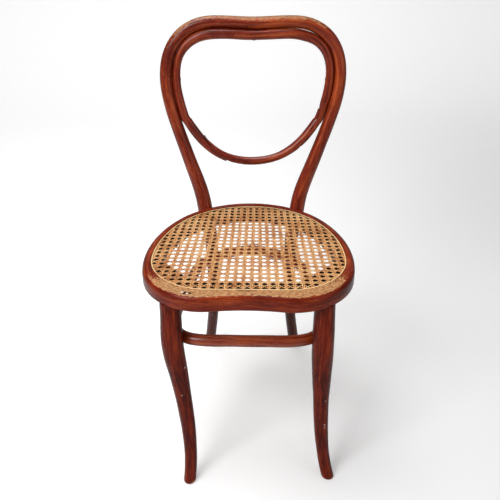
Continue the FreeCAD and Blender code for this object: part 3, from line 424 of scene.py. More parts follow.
def bow_half():
    """Middle of the bow from its top down to the post: out, up the lean, radius."""
    top = rise_of(BACK_HEIGHT) - BOW_TOP_RADIUS
    wide = BOW_HALF_WIDTH - BOW_SIDE_RADIUS
    widest = rise_of(BOW_WIDEST_HEIGHT)
    between = (BOW_TOP_RADIUS + BOW_SIDE_RADIUS) / 2
    spread = wide - POST_HALF_SPACING
    rows = [(0, top - BOW_DIP, BOW_TOP_RADIUS), (LOBE_SHARE * wide, top, BOW_TOP_RADIUS)]
    rows += [(share * wide, top - drop * (top - widest), between) for share, drop in SHOULDER_SHARES]
    rows.append((wide, widest, BOW_SIDE_RADIUS))
    rows += [
        (POST_HALF_SPACING + out * spread, up * widest, thick * BOW_SIDE_RADIUS)
        for out, up, thick in FLANK_SHARES
    ]
    return rows


print("places measured on half the bow:", len(bow_half()))

# %% [markdown]
# ### Posts and rear legs
# Below the seat the same stick draws in to a waist and then sweeps out to the rear,
# thinner all the way down. The line goes on below the floor, and the foot is cut level.

# %% Back stick
REAR_WAIST = 98.0
REAR_ANKLE_RADIUS = 14.0
REAR_FOOT = 119.0
REAR_FOOT_REACH = 255.0
BACK_CORNERS, BACK_SEED = 28, 11


def rear_leg_half():
    """Middle of a post and rear leg, from above the seat to below the floor."""
    reach = REAR_FOOT_REACH - POST_Y
    post, waist, foot = POST_HALF_SPACING, REAR_WAIST, REAR_FOOT
    seat = JOINT_HEIGHT
    return [
        (1.059 * post, POST_Y + 0.10 * seat * math.sin(LEAN), 1.08 * seat, 0.98 * POST_RADIUS),
        (post, POST_Y, seat, POST_RADIUS),
        (waist + 0.25 * (post - waist), POST_Y + 0.01 * reach, 0.87 * seat, 0.93 * POST_RADIUS),
        (waist, POST_Y + 0.12 * reach, 0.72 * seat, 0.86 * POST_RADIUS),
        (waist + 0.03 * (foot - waist), POST_Y + 0.36 * reach, 0.5 * seat, 0.82 * POST_RADIUS),
        (waist + 0.42 * (foot - waist), POST_Y + 0.72 * reach, 0.225 * seat, REAR_ANKLE_RADIUS),
        (foot, POST_Y + reach, 0, REAR_ANKLE_RADIUS),
        (foot + 0.1 * (foot - waist), POST_Y + 1.06 * reach, -0.045 * seat, REAR_ANKLE_RADIUS),
    ]


def back_line():
    """The whole back stick, from one foot over the bow to the other foot."""
    halves = []
    for side in (-1, 1):
        half = [on_back(*leaned(side * x, rise)) + [radius] for x, rise, radius in bow_half()]
        half += [[side * x, y, z, radius] for x, y, z, radius in rear_leg_half()]
        halves.append(half)
    return SmoothLine(halves[0][:0:-1] + halves[1])


BACK_LINE = back_line()


def make_back():
    """Bow, posts and rear legs in one piece."""
    places, shrink = with_feet(BACK_LINE)
    sides = np.tile([0.0, -1.0, 0.0], (len(places), 1))
    corners, straight = rings(BACK_LINE, places, sides, BACK_CORNERS, BACK_SEED, shrink)
    faces = tube_faces(len(places), BACK_CORNERS)
    return new_piece("back_stick", "back_frame", "stained_beech", corners, faces, straight)


back_stick = make_back()
print("back stick, m long:", round(BACK_LINE.knots[-1] * MM, 2))

# %% [markdown]
# ## The inner hoop
# A closed hoop is screwed inside the bow and stiffens the back. Above, it lies along
# the bow, so its middle line is set off from the bow's; below, it goes its own way.

# %% Hoop line
HOOP_TOP_RADIUS = 11.6
HOOP_SIDE_RADIUS = 9.6
HOOP_BOTTOM_RADIUS = 9.2
HOOP_BOTTOM_HEIGHT = 567.5
HOOP_GAP = 0.2
LOWER_SHARES = [(0.773, 0.382), (0.686, 0.281), (0.37, 0.065), (0, 0)]


def hoop_upper_half(side):
    """Middle of the hoop where it lies against the bow, from the top down one side."""
    bow = bow_half()
    left = [(*leaned(-x, rise), 0) for x, rise, radius in bow[:0:-1]]
    flat = SmoothLine(left + [(*leaned(x, rise), 0) for x, rise, radius in bow])
    top, flank = HOOP_TOP_RADIUS, HOOP_SIDE_RADIUS
    half = []
    for index, radius in enumerate([top, top, top, 0.95 * top, flank, flank, 1.04 * flank]):
        place = flat.knots[len(bow) - 1 + side * index]
        slope = unit(flat.at([place], 1))[0]
        distance = bow[index][2] + radius + HOOP_GAP
        point = flat.at([place])[0] + distance * np.array([slope[1], -slope[0], 0])
        half.append((point[0], point[1], radius))
    return half


def hoop_lower_half(side):
    """The hoop below the place where it leaves the bow."""
    wide = BOW_HALF_WIDTH - 2 * BOW_SIDE_RADIUS - HOOP_SIDE_RADIUS
    bottom = rise_of(HOOP_BOTTOM_HEIGHT)
    drop = rise_of(BOW_WIDEST_HEIGHT) - bottom
    flank, low = 1.08 * HOOP_SIDE_RADIUS, HOOP_BOTTOM_RADIUS
    rows = zip(LOWER_SHARES, (flank, flank, low, low))
    return [(*leaned(side * out * wide, bottom + up * drop), radius) for (out, up), radius in rows]


def hoop_line():
    """The closed middle line of the hoop: against the bow above, on its own bend below."""
    right = hoop_upper_half(1) + hoop_lower_half(1)
    left = hoop_upper_half(-1) + hoop_lower_half(-1)
    whole = right + left[-2:0:-1]
    return SmoothLine([on_back(x, rise) + [radius] for x, rise, radius in whole], closed=True)


HOOP_LINE = hoop_line()
HOOP_LAP = len(HOOP_LINE.knots) - 1
BACK_NORMAL = np.array([0, -math.cos(LEAN), math.sin(LEAN)])


def hoop_place(index):
    """A place on the hoop, counted in its own points from the top middle."""
    laps, rest = divmod(index, HOOP_LAP)
    return float(np.interp(rest, np.arange(HOOP_LAP + 1), HOOP_LINE.knots)) + laps * HOOP_LINE.knots[-1]


print("hoop, m round:", round(HOOP_LINE.knots[-1] * MM, 2))

# %% [markdown]
# ### Two lengths and their joints
# The hoop is bent from two lengths. Where they meet, each is shaved to a long taper and
# glued to the other: a scarf joint. Each length is a stick whose rings are cut off
# along the joint, so the glue line is a real edge. One tip stands a little proud, as on
# the old chair.

# %% Scarf joints
RIGHT_INNER_TIP, RIGHT_OUTER_TIP = 5.45, 8.6
LEFT_OUTER_TIP, LEFT_INNER_TIP = 10.45, 12.3
TIP_PROUD = 2.0
GLUE_LINE = 0.06
THIN_TIP, BLUNT_TIP = 0.13, 0.224


def joint_offset(places):
    """How far outside the hoop's middle line the joint runs, at places on the line."""
    reach = 1.3 * HOOP_SIDE_RADIUS
    ends = [hoop_place(i) for i in (RIGHT_INNER_TIP, RIGHT_OUTER_TIP, LEFT_OUTER_TIP, LEFT_INNER_TIP)]
    return np.interp(places, ends, [-reach, reach, reach, -reach])


def kept_part(offset, upper):
    """Between which sides of the middle line a length keeps its wood."""
    glue = np.full(len(offset), GLUE_LINE)
    return (offset + glue, glue + FAR_OUT) if upper else (glue - FAR_OUT, offset - glue)


def proud_tip(places):
    """How far the upper length's left tip stands out, at places on the line."""
    fade = np.interp(places, [hoop_place(LEFT_OUTER_TIP), hoop_place(LEFT_INNER_TIP)], [1, 0])
    fade[places < hoop_place(RIGHT_OUTER_TIP)] = 0
    return fade * TIP_PROUD


def taper(outer, inner, share):
    """A place part of the way from one end of a joint to the other."""
    return hoop_place(outer + (inner - outer) * share)


print("right joint, mm long:", round(hoop_place(RIGHT_OUTER_TIP) - hoop_place(RIGHT_INNER_TIP)))

# %% [markdown]
# ### The hoop against the bow
# Screws pull the hoop tight against the bow, so the two press on each other from the top
# down their sides, except for one narrow slit at the upper right where light shows
# through. Each ring is moved by the gap that it would leave, and the slit is let in.

# %% Hoop
SNUG_FROM, SNUG_FADE = 0.6, 2.2
PRESSED = 0.15
SLIT_PLACE, SLIT_WIDTH, SLIT_REACH = 2.2, 0.75, 16.0
HOOP_CORNERS, HOOP_STEP = 24, 3.5
UPPER_SEED, LOWER_SEED = 21, 22


def snug_shift(places):
    """How far each ring of the hoop moves so that it just touches the bow beside it."""
    centres = HOOP_LINE.at(places)
    bow = BACK_LINE.at(np.linspace(0.2, 0.8, 3000) * BACK_LINE.knots[-1])
    apart = np.linalg.norm(centres[:, None, :3] - bow[None, :, :3], axis=2)
    near = apart.argmin(axis=1)
    free = apart.min(axis=1) - bow[near, 3] - centres[:, 3]
    held = 1 - np.clip((free - SNUG_FROM) / SNUG_FADE, 0, 1) ** 2
    slit = SLIT_WIDTH * np.exp(-(((places - hoop_place(SLIT_PLACE)) / SLIT_REACH) ** 2))
    return (free + PRESSED - slit) * np.clip(held, 0, 1)


def hoop_length(name, node, start, end, upper):
    """One length of the hoop, cut off along the joint."""
    places = np.arange(start, end, HOOP_STEP)
    around = np.mod(places, HOOP_LINE.knots[-1])
    offset = joint_offset(around)
    sides = -np.cross(unit(HOOP_LINE.at(places, 1)[:, :3]), BACK_NORMAL)
    seed = UPPER_SEED if upper else LOWER_SEED
    corners, straight = rings(HOOP_LINE, places, sides, HOOP_CORNERS, seed, 0.0, kept_part(offset, upper))
    shift = snug_shift(around)
    if upper:
        shift = shift + proud_tip(around)
    corners += np.repeat(shift[:, None] * sides, HOOP_CORNERS, axis=0)
    faces = tube_faces(len(places), HOOP_CORNERS)
    return new_piece(name, node, "stained_beech", corners, faces, straight)


def make_hoop():
    """Both lengths, each from where its taper is too thin to see."""
    upper_start = taper(LEFT_OUTER_TIP, LEFT_INNER_TIP, BLUNT_TIP)
    upper_end = HOOP_LINE.knots[-1] + taper(RIGHT_OUTER_TIP, RIGHT_INNER_TIP, THIN_TIP)
    lower_start = taper(RIGHT_INNER_TIP, RIGHT_OUTER_TIP, THIN_TIP)
    lower_end = taper(LEFT_INNER_TIP, LEFT_OUTER_TIP, THIN_TIP)
    return [
        hoop_length("hoop_upper_length", "hoop_upper", upper_start, upper_end, True),
        hoop_length("hoop_lower_length", "hoop_lower", lower_start, lower_end, False),
    ]


hoop_pieces = make_hoop()
print("corners of the two lengths:", [len(piece.data.vertices) for piece in hoop_pieces])

# %% [markdown]
# ## Front legs
# Both front legs were turned alike: thickest just above the ring, thin at the ankle, and
# bent outward at the foot. With age they have come to lean differently, and at the ring
# they bow forward a little. So both share one list of heights and radii, and each side
# has its own sweep and lean. Side 1 is the sitter's left, the right of the photograph.

# %% Middle line of a front leg
LEG_HALF_SPACING = 151.0
LEG_FRONT_REACH = 160.0
LEG_SWEEP = {1: 54.5, -1: 71.5}
LEG_LEAN = {1: 6.5, -1: -42.5}
FOOT_FLARE = 18.5
SWEEP_POWER, FLARE_POWER = 1.7, 4.75
BELLY_HEIGHT = 337.0
RING_LEVEL = 328.0
RING_RADIUS = 12.4
LEG_BOW = 12.0
LEG_TOP_RADIUS, LEG_BELLY_RADIUS, LEG_SHIN_RADIUS = 20.6, 22.2, 16.8
LEG_ANKLE_RADIUS, LEG_FOOT_RADIUS = 14.2, 13.2
LEG_BOW_HEIGHTS = [share * BELLY_HEIGHT for share in (0.12, 0.42, 0.8, 1.0)] + [RIM_BOTTOM]
LEG_BOW_SHARES = [0.0, 0.25, 0.85, 1.0, 0.0]


def share_below(top, height):
    """How far down from a height to the floor, from 0 to 1."""
    return max(0.0, (top - height) / top)


def leg_line(side):
    """The middle of a front leg from the rim to just below the floor."""
    rows = [
        (RIM_BOTTOM, LEG_TOP_RADIUS),
        (BELLY_HEIGHT + 0.55 * (RIM_BOTTOM - BELLY_HEIGHT), (LEG_TOP_RADIUS + LEG_BELLY_RADIUS) / 2),
        (BELLY_HEIGHT, LEG_BELLY_RADIUS),
        (0.8 * BELLY_HEIGHT, 0.92 * LEG_BELLY_RADIUS),
        (0.59 * BELLY_HEIGHT, LEG_SHIN_RADIUS),
        (0.42 * BELLY_HEIGHT, (LEG_SHIN_RADIUS + LEG_ANKLE_RADIUS) / 2),
        (0.28 * BELLY_HEIGHT, LEG_ANKLE_RADIUS),
        (0.12 * BELLY_HEIGHT, LEG_FOOT_RADIUS),
        (0, LEG_FOOT_RADIUS),
        (-0.06 * BELLY_HEIGHT, LEG_FOOT_RADIUS),
    ]
    points = []
    for height, radius in rows:
        forward = LEG_SWEEP[side] * share_below(BELLY_HEIGHT + RING_RADIUS, height) ** SWEEP_POWER
        forward += LEG_BOW * float(np.interp(height, LEG_BOW_HEIGHTS, LEG_BOW_SHARES))
        share = share_below(BELLY_HEIGHT - RING_RADIUS, height)
        out = LEG_HALF_SPACING + LEG_LEAN[side] * share + FOOT_FLARE * share**FLARE_POWER
        points.append((side * out, -LEG_FRONT_REACH - forward, height, radius))
    return SmoothLine(points)


print("front legs, mm long:", [round(leg_line(side).knots[-1]) for side in (1, -1)])

# %% [markdown]
# ### A leg and its tenon
# On top, the leg steps in to a round tenon that is glued into the seat rim. The tenon is
# the leg's first ring made slimmer and set twice: at the rim's underside and inside it.

# %% Front legs
TENON_RADIUS, TENON_LENGTH = 13.0, 22.0
LEG_CORNERS, LEG_SEEDS = 32, {1: 31, -1: 32}


def make_leg(name, node, side):
    """A front leg with its tenon."""
    line = leg_line(side)
    places, shrink = with_feet(line)
    sides = np.tile([1.0, 0.0, 0.0], (len(places), 1))
    corners, straight = rings(line, places, sides, LEG_CORNERS, LEG_SEEDS[side], shrink)
    middle = np.array([side * LEG_HALF_SPACING, -LEG_FRONT_REACH, RIM_BOTTOM])
    first, first_straight = corners[:LEG_CORNERS], straight[:LEG_CORNERS]
    slimmer = TENON_RADIUS / LEG_TOP_RADIUS
    tenon = (first - middle) * [slimmer, slimmer, 0]
    corners = np.vstack([middle + [0, 0, TENON_LENGTH] + tenon, middle + tenon, corners])
    straight = np.vstack([first_straight - [0, 0, TENON_LENGTH], first_straight, straight])
    faces = tube_faces(len(places) + 2, LEG_CORNERS)
    return new_piece(name, node, "stained_beech", corners, faces, straight)


front_legs = [make_leg("leg_left", "front_leg_left", 1), make_leg("leg_right", "front_leg_right", -1)]
print("corners of a front leg:", len(front_legs[0].data.vertices))

# %% [markdown]
# ## Leg ring
# A round stick bent into a closed ring ties the legs. It passes close behind the front
# legs, where they hide its corners, and runs inside the rear legs. Its shape is read
# off the photograph, where most of it shows through the cane.

# %% Ring
RING_CORNERS, RING_SEED = 24, 41
RING_POINTS = [
    (0, -157.4), (50, -157.2), (95, -156), (119, -150.5), (139, -138), (152, -119), (157, -93),
    (155, -50), (147.5, 10), (138, 65), (129, 114), (107, 155), (74, 184), (40, 201), (0, 208),
]


def ring_line():
    """The ring's closed middle line, which starts and ends at the rear."""
    other = [(-x, y) for x, y in RING_POINTS[1:-1]]
    whole = RING_POINTS[::-1] + other
    return SmoothLine([(x, y, RING_LEVEL, RING_RADIUS) for x, y in whole], closed=True)


RING_LINE = ring_line()


def make_ring():
    """The ring as a smooth stick."""
    places = RING_LINE.places(STICK_STEP)
    sides = np.tile([0.0, 0.0, 1.0], (len(places), 1))
    corners, straight = rings(RING_LINE, places, sides, RING_CORNERS, RING_SEED)
    faces = tube_faces(len(places), RING_CORNERS, closed=True)
    return new_piece("ring_stick", "leg_ring", "stained_beech", corners, faces, straight)


ring_stick = make_ring()
print("ring, m round:", round(RING_LINE.knots[-1] * MM, 3))

# %% [markdown]
# ## Outlines of the seat
# The seat's outside and the cane's edge are both made of arcs that run smoothly into
# one another. Each is worked out for the right half and mirrored.

# %% Outlines
CANE_INSET = 20.5
CANE_SIDE_INSET = 16.5
CANE_CORNER_RADIUS = 120.0
CANE_FRONT_REACH = 168.5
LEDGE = SEAT_TOP - 4.2
RIM_CORNER_RADIUS, RIM_NOTCH_RADIUS, RIM_SIDE_ANGLE = 129.0, 500.0, 8.8


def toward(angle):
    """A level direction, from its angle in degrees."""
    return np.array([math.cos(math.radians(angle)), math.sin(math.radians(angle))])


def arc_points(centre, radius, start, end, step=3.0):
    """Points along part of a circle."""
    count = max(2, int(abs(end - start) * math.pi / 180 * radius / step))
    turn = np.radians(np.linspace(start, end, count, endpoint=False))
    return np.column_stack([centre[0] + radius * np.cos(turn), centre[1] + radius * np.sin(turn)])


def rim_outline():
    """Points round the outside of the rim."""
    corner = SIDE_CENTRE + toward(-RIM_SIDE_ANGLE) * (RIM_SIDE_RADIUS - RIM_CORNER_RADIUS)
    reach = RIM_CORNER_RADIUS + RIM_NOTCH_RADIUS
    turn = math.degrees(math.asin(corner[0] / reach))
    notch = (0, corner[1] - reach * math.cos(math.radians(turn)))
    right = np.vstack([
        arc_points(notch, RIM_NOTCH_RADIUS, 90, 90 - turn),
        arc_points(corner, RIM_CORNER_RADIUS, -90 - turn, -RIM_SIDE_ANGLE),
        arc_points(SIDE_CENTRE, RIM_SIDE_RADIUS, -RIM_SIDE_ANGLE, REAR_JOIN),
        arc_points((0, REAR_CENTRE_Y), RIM_REAR_RADIUS, REAR_JOIN, 90),
    ])
    return np.vstack([right, [[0, RIM_REAR_REACH]], (right[1:] * [-1, 1])[::-1]])


def cane_outline(inset):
    """Points round the cane's edge, or round a line inside it."""
    side_inset = CANE_SIDE_INSET + inset
    rear_y, rear_radius, join = rear_bend(CANE_INSET + inset, side_inset)
    side_radius = RIM_SIDE_RADIUS - side_inset
    corner_radius = CANE_CORNER_RADIUS - inset
    front = -CANE_FRONT_REACH + inset
    fall = math.degrees(math.asin((front + corner_radius - SIDE_CENTRE[1]) / (side_radius - corner_radius)))
    corner = SIDE_CENTRE + toward(fall) * (side_radius - corner_radius)
    right = np.vstack([
        arc_points(corner, corner_radius, -90, fall),
        arc_points(SIDE_CENTRE, side_radius, fall, join),
        arc_points((0, rear_y), rear_radius, join, 90),
    ])
    left = (right * [-1, 1])[::-1]
    count = int(2 * corner[0] / 3)
    bar = np.column_stack([np.linspace(-corner[0], corner[0], count)[1:-1], np.full(count - 2, front)])
    return np.vstack([bar, right, left])


CANE_EDGE = cane_outline(0)
print("cane, mm across:", round(float(np.ptp(CANE_EDGE[:, 0]))), "by", round(float(np.ptp(CANE_EDGE[:, 1]))))

# %% [markdown]
# ## Seat rim
# The rim is one thick ring of beech. A ledge is cut round its inside for the cane, and
# the wood below is wider in front, where the legs are let in: through the cane it shows
# as a dark border. The opening is where three simple shapes overlap: the cane's own
# outline set inward, a straight front, and a block across each front corner.

# %% Opening
OPENING_INSET = 23.0
OPENING_FRONT = 137.0
BLOCK_REACH, BLOCK_ANGLE = 170.3, -43.2
OPENING_SOFT = 26
TINY = 1e-3


def reach_at(outline, turns):
    """How far an outline lies from the seat's middle, at angles round it."""
    around = np.arctan2(outline[:, 1], outline[:, 0])
    order = np.argsort(around)
    reach = np.linalg.norm(outline, axis=1)
    return np.interp(turns, around[order], reach[order], period=2 * math.pi)


def opening_reach(turns):
    """The opening below the cane: a wide ledge, a straight front and two corner blocks."""
    reach = reach_at(cane_outline(OPENING_INSET), turns)
    front = OPENING_FRONT / np.maximum(-np.sin(turns), TINY)
    block_turn = math.radians(BLOCK_ANGLE)
    lean = np.abs(np.cos(turns)) * math.cos(block_turn) + np.sin(turns) * math.sin(block_turn)
    block = BLOCK_REACH / np.maximum(lean, TINY)
    return sum(part ** -OPENING_SOFT for part in (reach, front, block)) ** (-1 / OPENING_SOFT)


print("opening, mm from the middle to its front:", round(float(opening_reach(np.array([-math.pi / 2]))[0]), 1))

# %% [markdown]
# ### The section of the rim
# A profile carried round by a modifier would keep one width, and this rim is wider in
# front. So each section is drawn along a line from the seat's middle: up the rounded
# outside, over the top to the cane, down to the ledge, down the opening's wall, and
# back along the underside. The last lines are marked for painted shade and painted
# near black: painted shade, partly dark dirt.

# %% Rim
RIM_TOP_ROUND, RIM_BOTTOM_ROUND, RIM_EDGE_ROUND = 10.0, 4.5, 0.8
EDGE_FALL, LEDGE_ROUND, WALL_ROUND = 0.15, 1.5, 3.0
UNDERSIDE_INSET = RIM_BOTTOM_ROUND + 6.0
RIM_STEPS, RIM_SEED, RIM_UNEVEN = 480, 61, 0.5
PAINTED_SHADE = "painted_shade"


def quarter(radius, steps):
    """Steps through a quarter round, as distance in and distance along."""
    turn = np.linspace(0, math.pi / 2, steps)
    return radius * (1 - np.sin(turn)), radius * (1 - np.cos(turn))


def rim_section(turns, outer, wear):
    """Lines round the rim, in the order of its section: points, height, and how much painted shade."""
    ray = np.column_stack([np.cos(turns), np.sin(turns)])
    inward = -across_path(outer, closed=True)
    cane = ray * reach_at(CANE_EDGE, turns)[:, None]
    opening = ray * opening_reach(turns)[:, None]
    lines = [
        (outer + inward * step_in, RIM_BOTTOM + step_up, 0.0)
        for step_in, step_up in zip(*quarter(RIM_BOTTOM_ROUND, 5))
    ]
    lines += [
        (outer + inward * step_in, SEAT_TOP - step_down + wear * step_in / RIM_TOP_ROUND / 2, 0.0)
        for step_down, step_in in zip(*quarter(RIM_TOP_ROUND, 8))
    ]
    return lines + [
        (cane + ray * RIM_EDGE_ROUND, SEAT_TOP - EDGE_FALL, 0.0),
        (cane, SEAT_TOP - RIM_EDGE_ROUND, 0.5),
        (cane, LEDGE, 1.0),
        (opening + ray * LEDGE_ROUND, LEDGE, 1.0),
        (opening, LEDGE - LEDGE_ROUND, 1.0),
        (opening, RIM_BOTTOM + WALL_ROUND, 1.0),
        (opening + ray * WALL_ROUND, RIM_BOTTOM, 1.0),
        (outer + inward * UNDERSIDE_INSET, RIM_BOTTOM, 0.6),
    ]


def make_rim():
    """The rim as a closed run of sections."""
    turns = np.linspace(-math.pi, math.pi, RIM_STEPS, endpoint=False)
    outer = np.column_stack([np.cos(turns), np.sin(turns)]) * reach_at(rim_outline(), turns)[:, None]
    length = lengths_along(outer, closed=True)
    lines = rim_section(turns, outer, hand_made(length, 0.7, RIM_SEED, RIM_UNEVEN))
    corners = np.stack([
        np.column_stack([points, np.broadcast_to(height, RIM_STEPS)]) for points, height, painted_shade in lines
    ], axis=1)
    below = np.cumsum(np.linalg.norm(np.diff(corners, axis=1, prepend=corners[:, :1]), axis=2), axis=1)
    straight = np.stack([below, np.zeros_like(below), np.broadcast_to(length[:, None], below.shape)], axis=2)
    faces = tube_faces(RIM_STEPS, len(lines), closed=True)
    corners, straight = corners.reshape(-1, 3), straight.reshape(-1, 3)
    piece = new_piece("seat_rim", "seat_frame", "stained_beech", corners, faces, straight)
    mark_corners(piece.data, PAINTED_SHADE, np.tile([painted_shade for points, height, painted_shade in lines], RIM_STEPS))
    return piece


seat_rim = make_rim()
print("rim corners:", len(seat_rim.data.vertices))

# %% [markdown]
# ## Screws, bolts, nuts and washers
# Each is a turned shape: a short profile carried round a line. Six corners make a nut,
# and many make a round head. Threads are left out, because the wood hides them.

# %% Turned steel
ASKEW = (0.12, 0.3, 0.95)


def turned(profile, start, axis, around):
    """Corners and faces of a profile, (out, along) pairs, carried round an axis."""
    axis = unit(np.array(axis, float))
    side = unit(np.cross(axis, ASKEW))
    up = np.cross(axis, side)
    turn = np.linspace(0, 2 * math.pi, around, endpoint=False)
    ring = np.cos(turn)[:, None] * side + np.sin(turn)[:, None] * up
    corners = [np.array(start, float) + axis * along + ring * out for out, along in profile]
    return np.vstack(corners), tube_faces(len(profile), around)


def fasteners(name, node, parts):
    """Several turned parts as one piece of steel."""
    return new_piece(name, node, "steel", *joined(parts))


print("corners of a plain six-sided nut:", len(turned([(6, 0), (6, 5)], (0, 0, 0), (0, 0, 1), 6)[0]))

# %% [markdown]
# ### Screws
# Screws run from inside the hoop and the ring into what lies outside them: one at the
# top and one at each side of the hoop, and one where the ring passes each leg. Their
# heads are let in almost flush.

# %% Screws
SHANK, HEAD, HEAD_HEIGHT, BITE, POINT = 2.0, 4.0, 1.1, 12.0, 3.0
SCREW_CORNERS = 20
HOOP_SCREW_PLACES = (0, 5, 15)


def screw_parts(start, axis, grip):
    """A round-headed screw; start is on the surface that its head lies on."""
    profile = [
        (HEAD * 0.3, -HEAD_HEIGHT), (HEAD * 0.8, -HEAD_HEIGHT * 0.8), (HEAD, -HEAD_HEIGHT * 0.35),
        (HEAD * 0.6, -0.2), (SHANK, 0.2), (SHANK, grip + BITE - POINT), (0.3, grip + BITE),
    ]
    return turned(profile, start, axis, SCREW_CORNERS)


def hoop_screw(index):
    """A screw through the hoop into the bow."""
    place = np.array([hoop_place(index)])
    centre = HOOP_LINE.at(place)[0]
    outward = -np.cross(unit(HOOP_LINE.at(place, 1)[0, :3]), BACK_NORMAL)
    start = centre[:3] - outward * (centre[3] - HEAD_HEIGHT * 0.7)
    return screw_parts(start, outward, 2 * centre[3])


def ring_screw(leg):
    """A screw through the ring into a leg, where the two are nearest."""
    points = RING_LINE.at(RING_LINE.places(1.0))[:, :2]
    near = points[np.argmin(np.linalg.norm(points - leg, axis=1))]
    outward = unit(leg - near)
    start = near - outward * (RING_RADIUS - HEAD_HEIGHT * 0.5)
    return screw_parts((*start, RING_LEVEL), (*outward, 0), 2 * RING_RADIUS)


def legs_at_ring():
    """Where the middles of the four legs pass the height of the ring."""
    def crossing(line, from_share):
        values = line.at(np.linspace(from_share, 1, 3000) * line.knots[-1])
        return values[np.argmin(abs(values[:, 2] - RING_LEVEL)), :2]

    rear = crossing(BACK_LINE, 0.5)
    return [crossing(leg_line(side), 0) for side in (-1, 1)] + [rear * [side, 1] for side in (-1, 1)]


steel_pieces = [
    fasteners("ring_screw_set", "ring_screws", [ring_screw(leg) for leg in legs_at_ring()]),
    fasteners("hoop_screw_set", "hoop_screws", [hoop_screw(index) for index in HOOP_SCREW_PLACES]),
]
print("screw corners:", [len(piece.data.vertices) for piece in steel_pieces])

# %% [markdown]
# ### Bolts through the posts
# A bolt goes through each post and the rim, square to the rim's bend. Its nut and
# washer lie inside the seat, against the wall of the opening.

# %% Seat bolts
BOLT_SHANK, BOLT_HEAD, BOLT_HEAD_HEIGHT, BOLT_TIP = 3.0, 8.0, 4.0, 2.0
BOLT_SPOT, BOLT_TAIL = 2.0, 2.0
WASHER, WASHER_THICK, NUT_HALF, NUT_THICK = 8.0, 1.2, 5.77, 5.0
BOLT_CORNERS, NUT_CORNERS = 28, 6


def seat_joint():
    """Centre of the rear bend, the bolt's direction, and the walls that it meets."""
    centre = np.array([0, REAR_CENTRE_Y])
    outward = unit(np.array([POST_HALF_SPACING, POST_Y]) - centre)
    steps = np.linspace(100, 200, 2001)
    points = centre + outward * steps[:, None]
    inside = np.linalg.norm(points, axis=1) < opening_reach(np.arctan2(points[:, 1], points[:, 0]))
    return centre, outward, steps[inside].max()


def seat_parts():
    """Bolts, washers and nuts of both seat joints."""
    centre, outward, wall = seat_joint()
    head = POST_DISTANCE + POST_RADIUS - BOLT_SPOT
    bolts, washers, nuts = [], [], []
    for side in (-1, 1):
        axis = (side * outward[0], outward[1], 0)
        foot = (0, centre[1], JOINT_HEIGHT)
        tail = wall - WASHER_THICK - NUT_THICK - BOLT_TAIL
        profile = [
            (BOLT_SHANK, tail), (BOLT_SHANK, head), (BOLT_HEAD, head), (BOLT_HEAD, head + 1),
            (BOLT_HEAD * 0.8, head + 0.75 * BOLT_HEAD_HEIGHT), (BOLT_TIP, head + BOLT_HEAD_HEIGHT),
        ]
        bolts.append(turned(profile, foot, axis, BOLT_CORNERS))
        washer = [(WASHER, wall - WASHER_THICK), (WASHER, wall)]
        washers.append(turned(washer, foot, axis, BOLT_CORNERS))
        nut = [(NUT_HALF, wall - WASHER_THICK - NUT_THICK), (NUT_HALF, wall - WASHER_THICK)]
        nuts.append(turned(nut, foot, axis, NUT_CORNERS))
    return bolts, washers, nuts


seat_bolts, seat_washers, seat_nuts = seat_parts()
steel_pieces += [
    fasteners("seat_bolt_set", "seat_bolts", seat_bolts),
    fasteners("seat_washer_set", "seat_washers", seat_washers),
    fasteners("seat_nut_set", "seat_nuts", seat_nuts),
]
print("sets of fasteners:", len(steel_pieces))

# %% [markdown]
# ## The cane
# A caned seat is woven in six steps through holes bored round the rim. Two strands run
# front to back and two from side to side at every hole, and they lock each other by
# going over and under. Then single strands run along both diagonals. They cross the
# pairs half way between two holes, so each opening becomes an eight-sided hole.
#
# ### Where the strands run
# The pairs that run front to back spread a little towards the front, like a fan. Any
# point of the weave is counted in columns and rows, and one function turns that count
# into a place, so every strand follows the fan together.

# %% Weave grid
PITCH_FRONT, PITCH_REAR, ROW_PITCH = 16.8, 14.2, 14.85
PAIR_HALF_GAP = 1.7
CANE_REAR_REACH = RIM_REAR_REACH - CANE_INSET
STRAND_WIDTH, STRAND_THICK = 3.0, 0.42
WEAVE_MIDDLE = LEDGE + 1.55
WEAVE_LIFT = 0.46
COLUMNS, ROWS = 14, 26
END_GAP = 1.2


def on_weave(column, row):
    """A place of the weave from its column and row, both counted in pairs."""
    y = -CANE_FRONT_REACH + row * ROW_PITCH
    share = (y + CANE_FRONT_REACH) / (CANE_REAR_REACH + CANE_FRONT_REACH)
    return column * (PITCH_FRONT + (PITCH_REAR - PITCH_FRONT) * share), y


def inside_outline(points, outline):
    """Whether points lie inside a closed outline."""
    x, y = points[:, 0:1], points[:, 1:2]
    here, there = outline, np.roll(outline, -1, axis=0)
    spans = (here[:, 1] > y) != (there[:, 1] > y)
    rise = np.where(there[:, 1] == here[:, 1], 1e-9, there[:, 1] - here[:, 1])
    cross = here[:, 0] + (y - here[:, 1]) * (there[:, 0] - here[:, 0]) / rise
    return np.sum(spans & (x < cross), axis=1) % 2 == 1


STRAND_EDGE = cane_outline(END_GAP)
print("weave grid, mm at row 5:", [round(v, 1) for v in on_weave(0.5, 5)])

# %% [markdown]
# ### One strand
# A strand is a thin flat strip with a slightly domed face. It follows its line over
# and under the others, so the mesh is a run of small cross-sections, each set at the
# height that the weave asks for. No two strands are cut quite alike: each has its own
# width, tilt and grain, drawn from a fixed seed.

# %% Strand mesh
STRIP = np.array([(-1, -0.35), (-0.86, 0.62), (0, 1.0), (0.86, 0.62), (1, -0.35), (0, -0.75)])
WIDTH_SPREAD, TILT, GRAIN_SHIFT = (0.93, 1.07), 0.05, 900.0


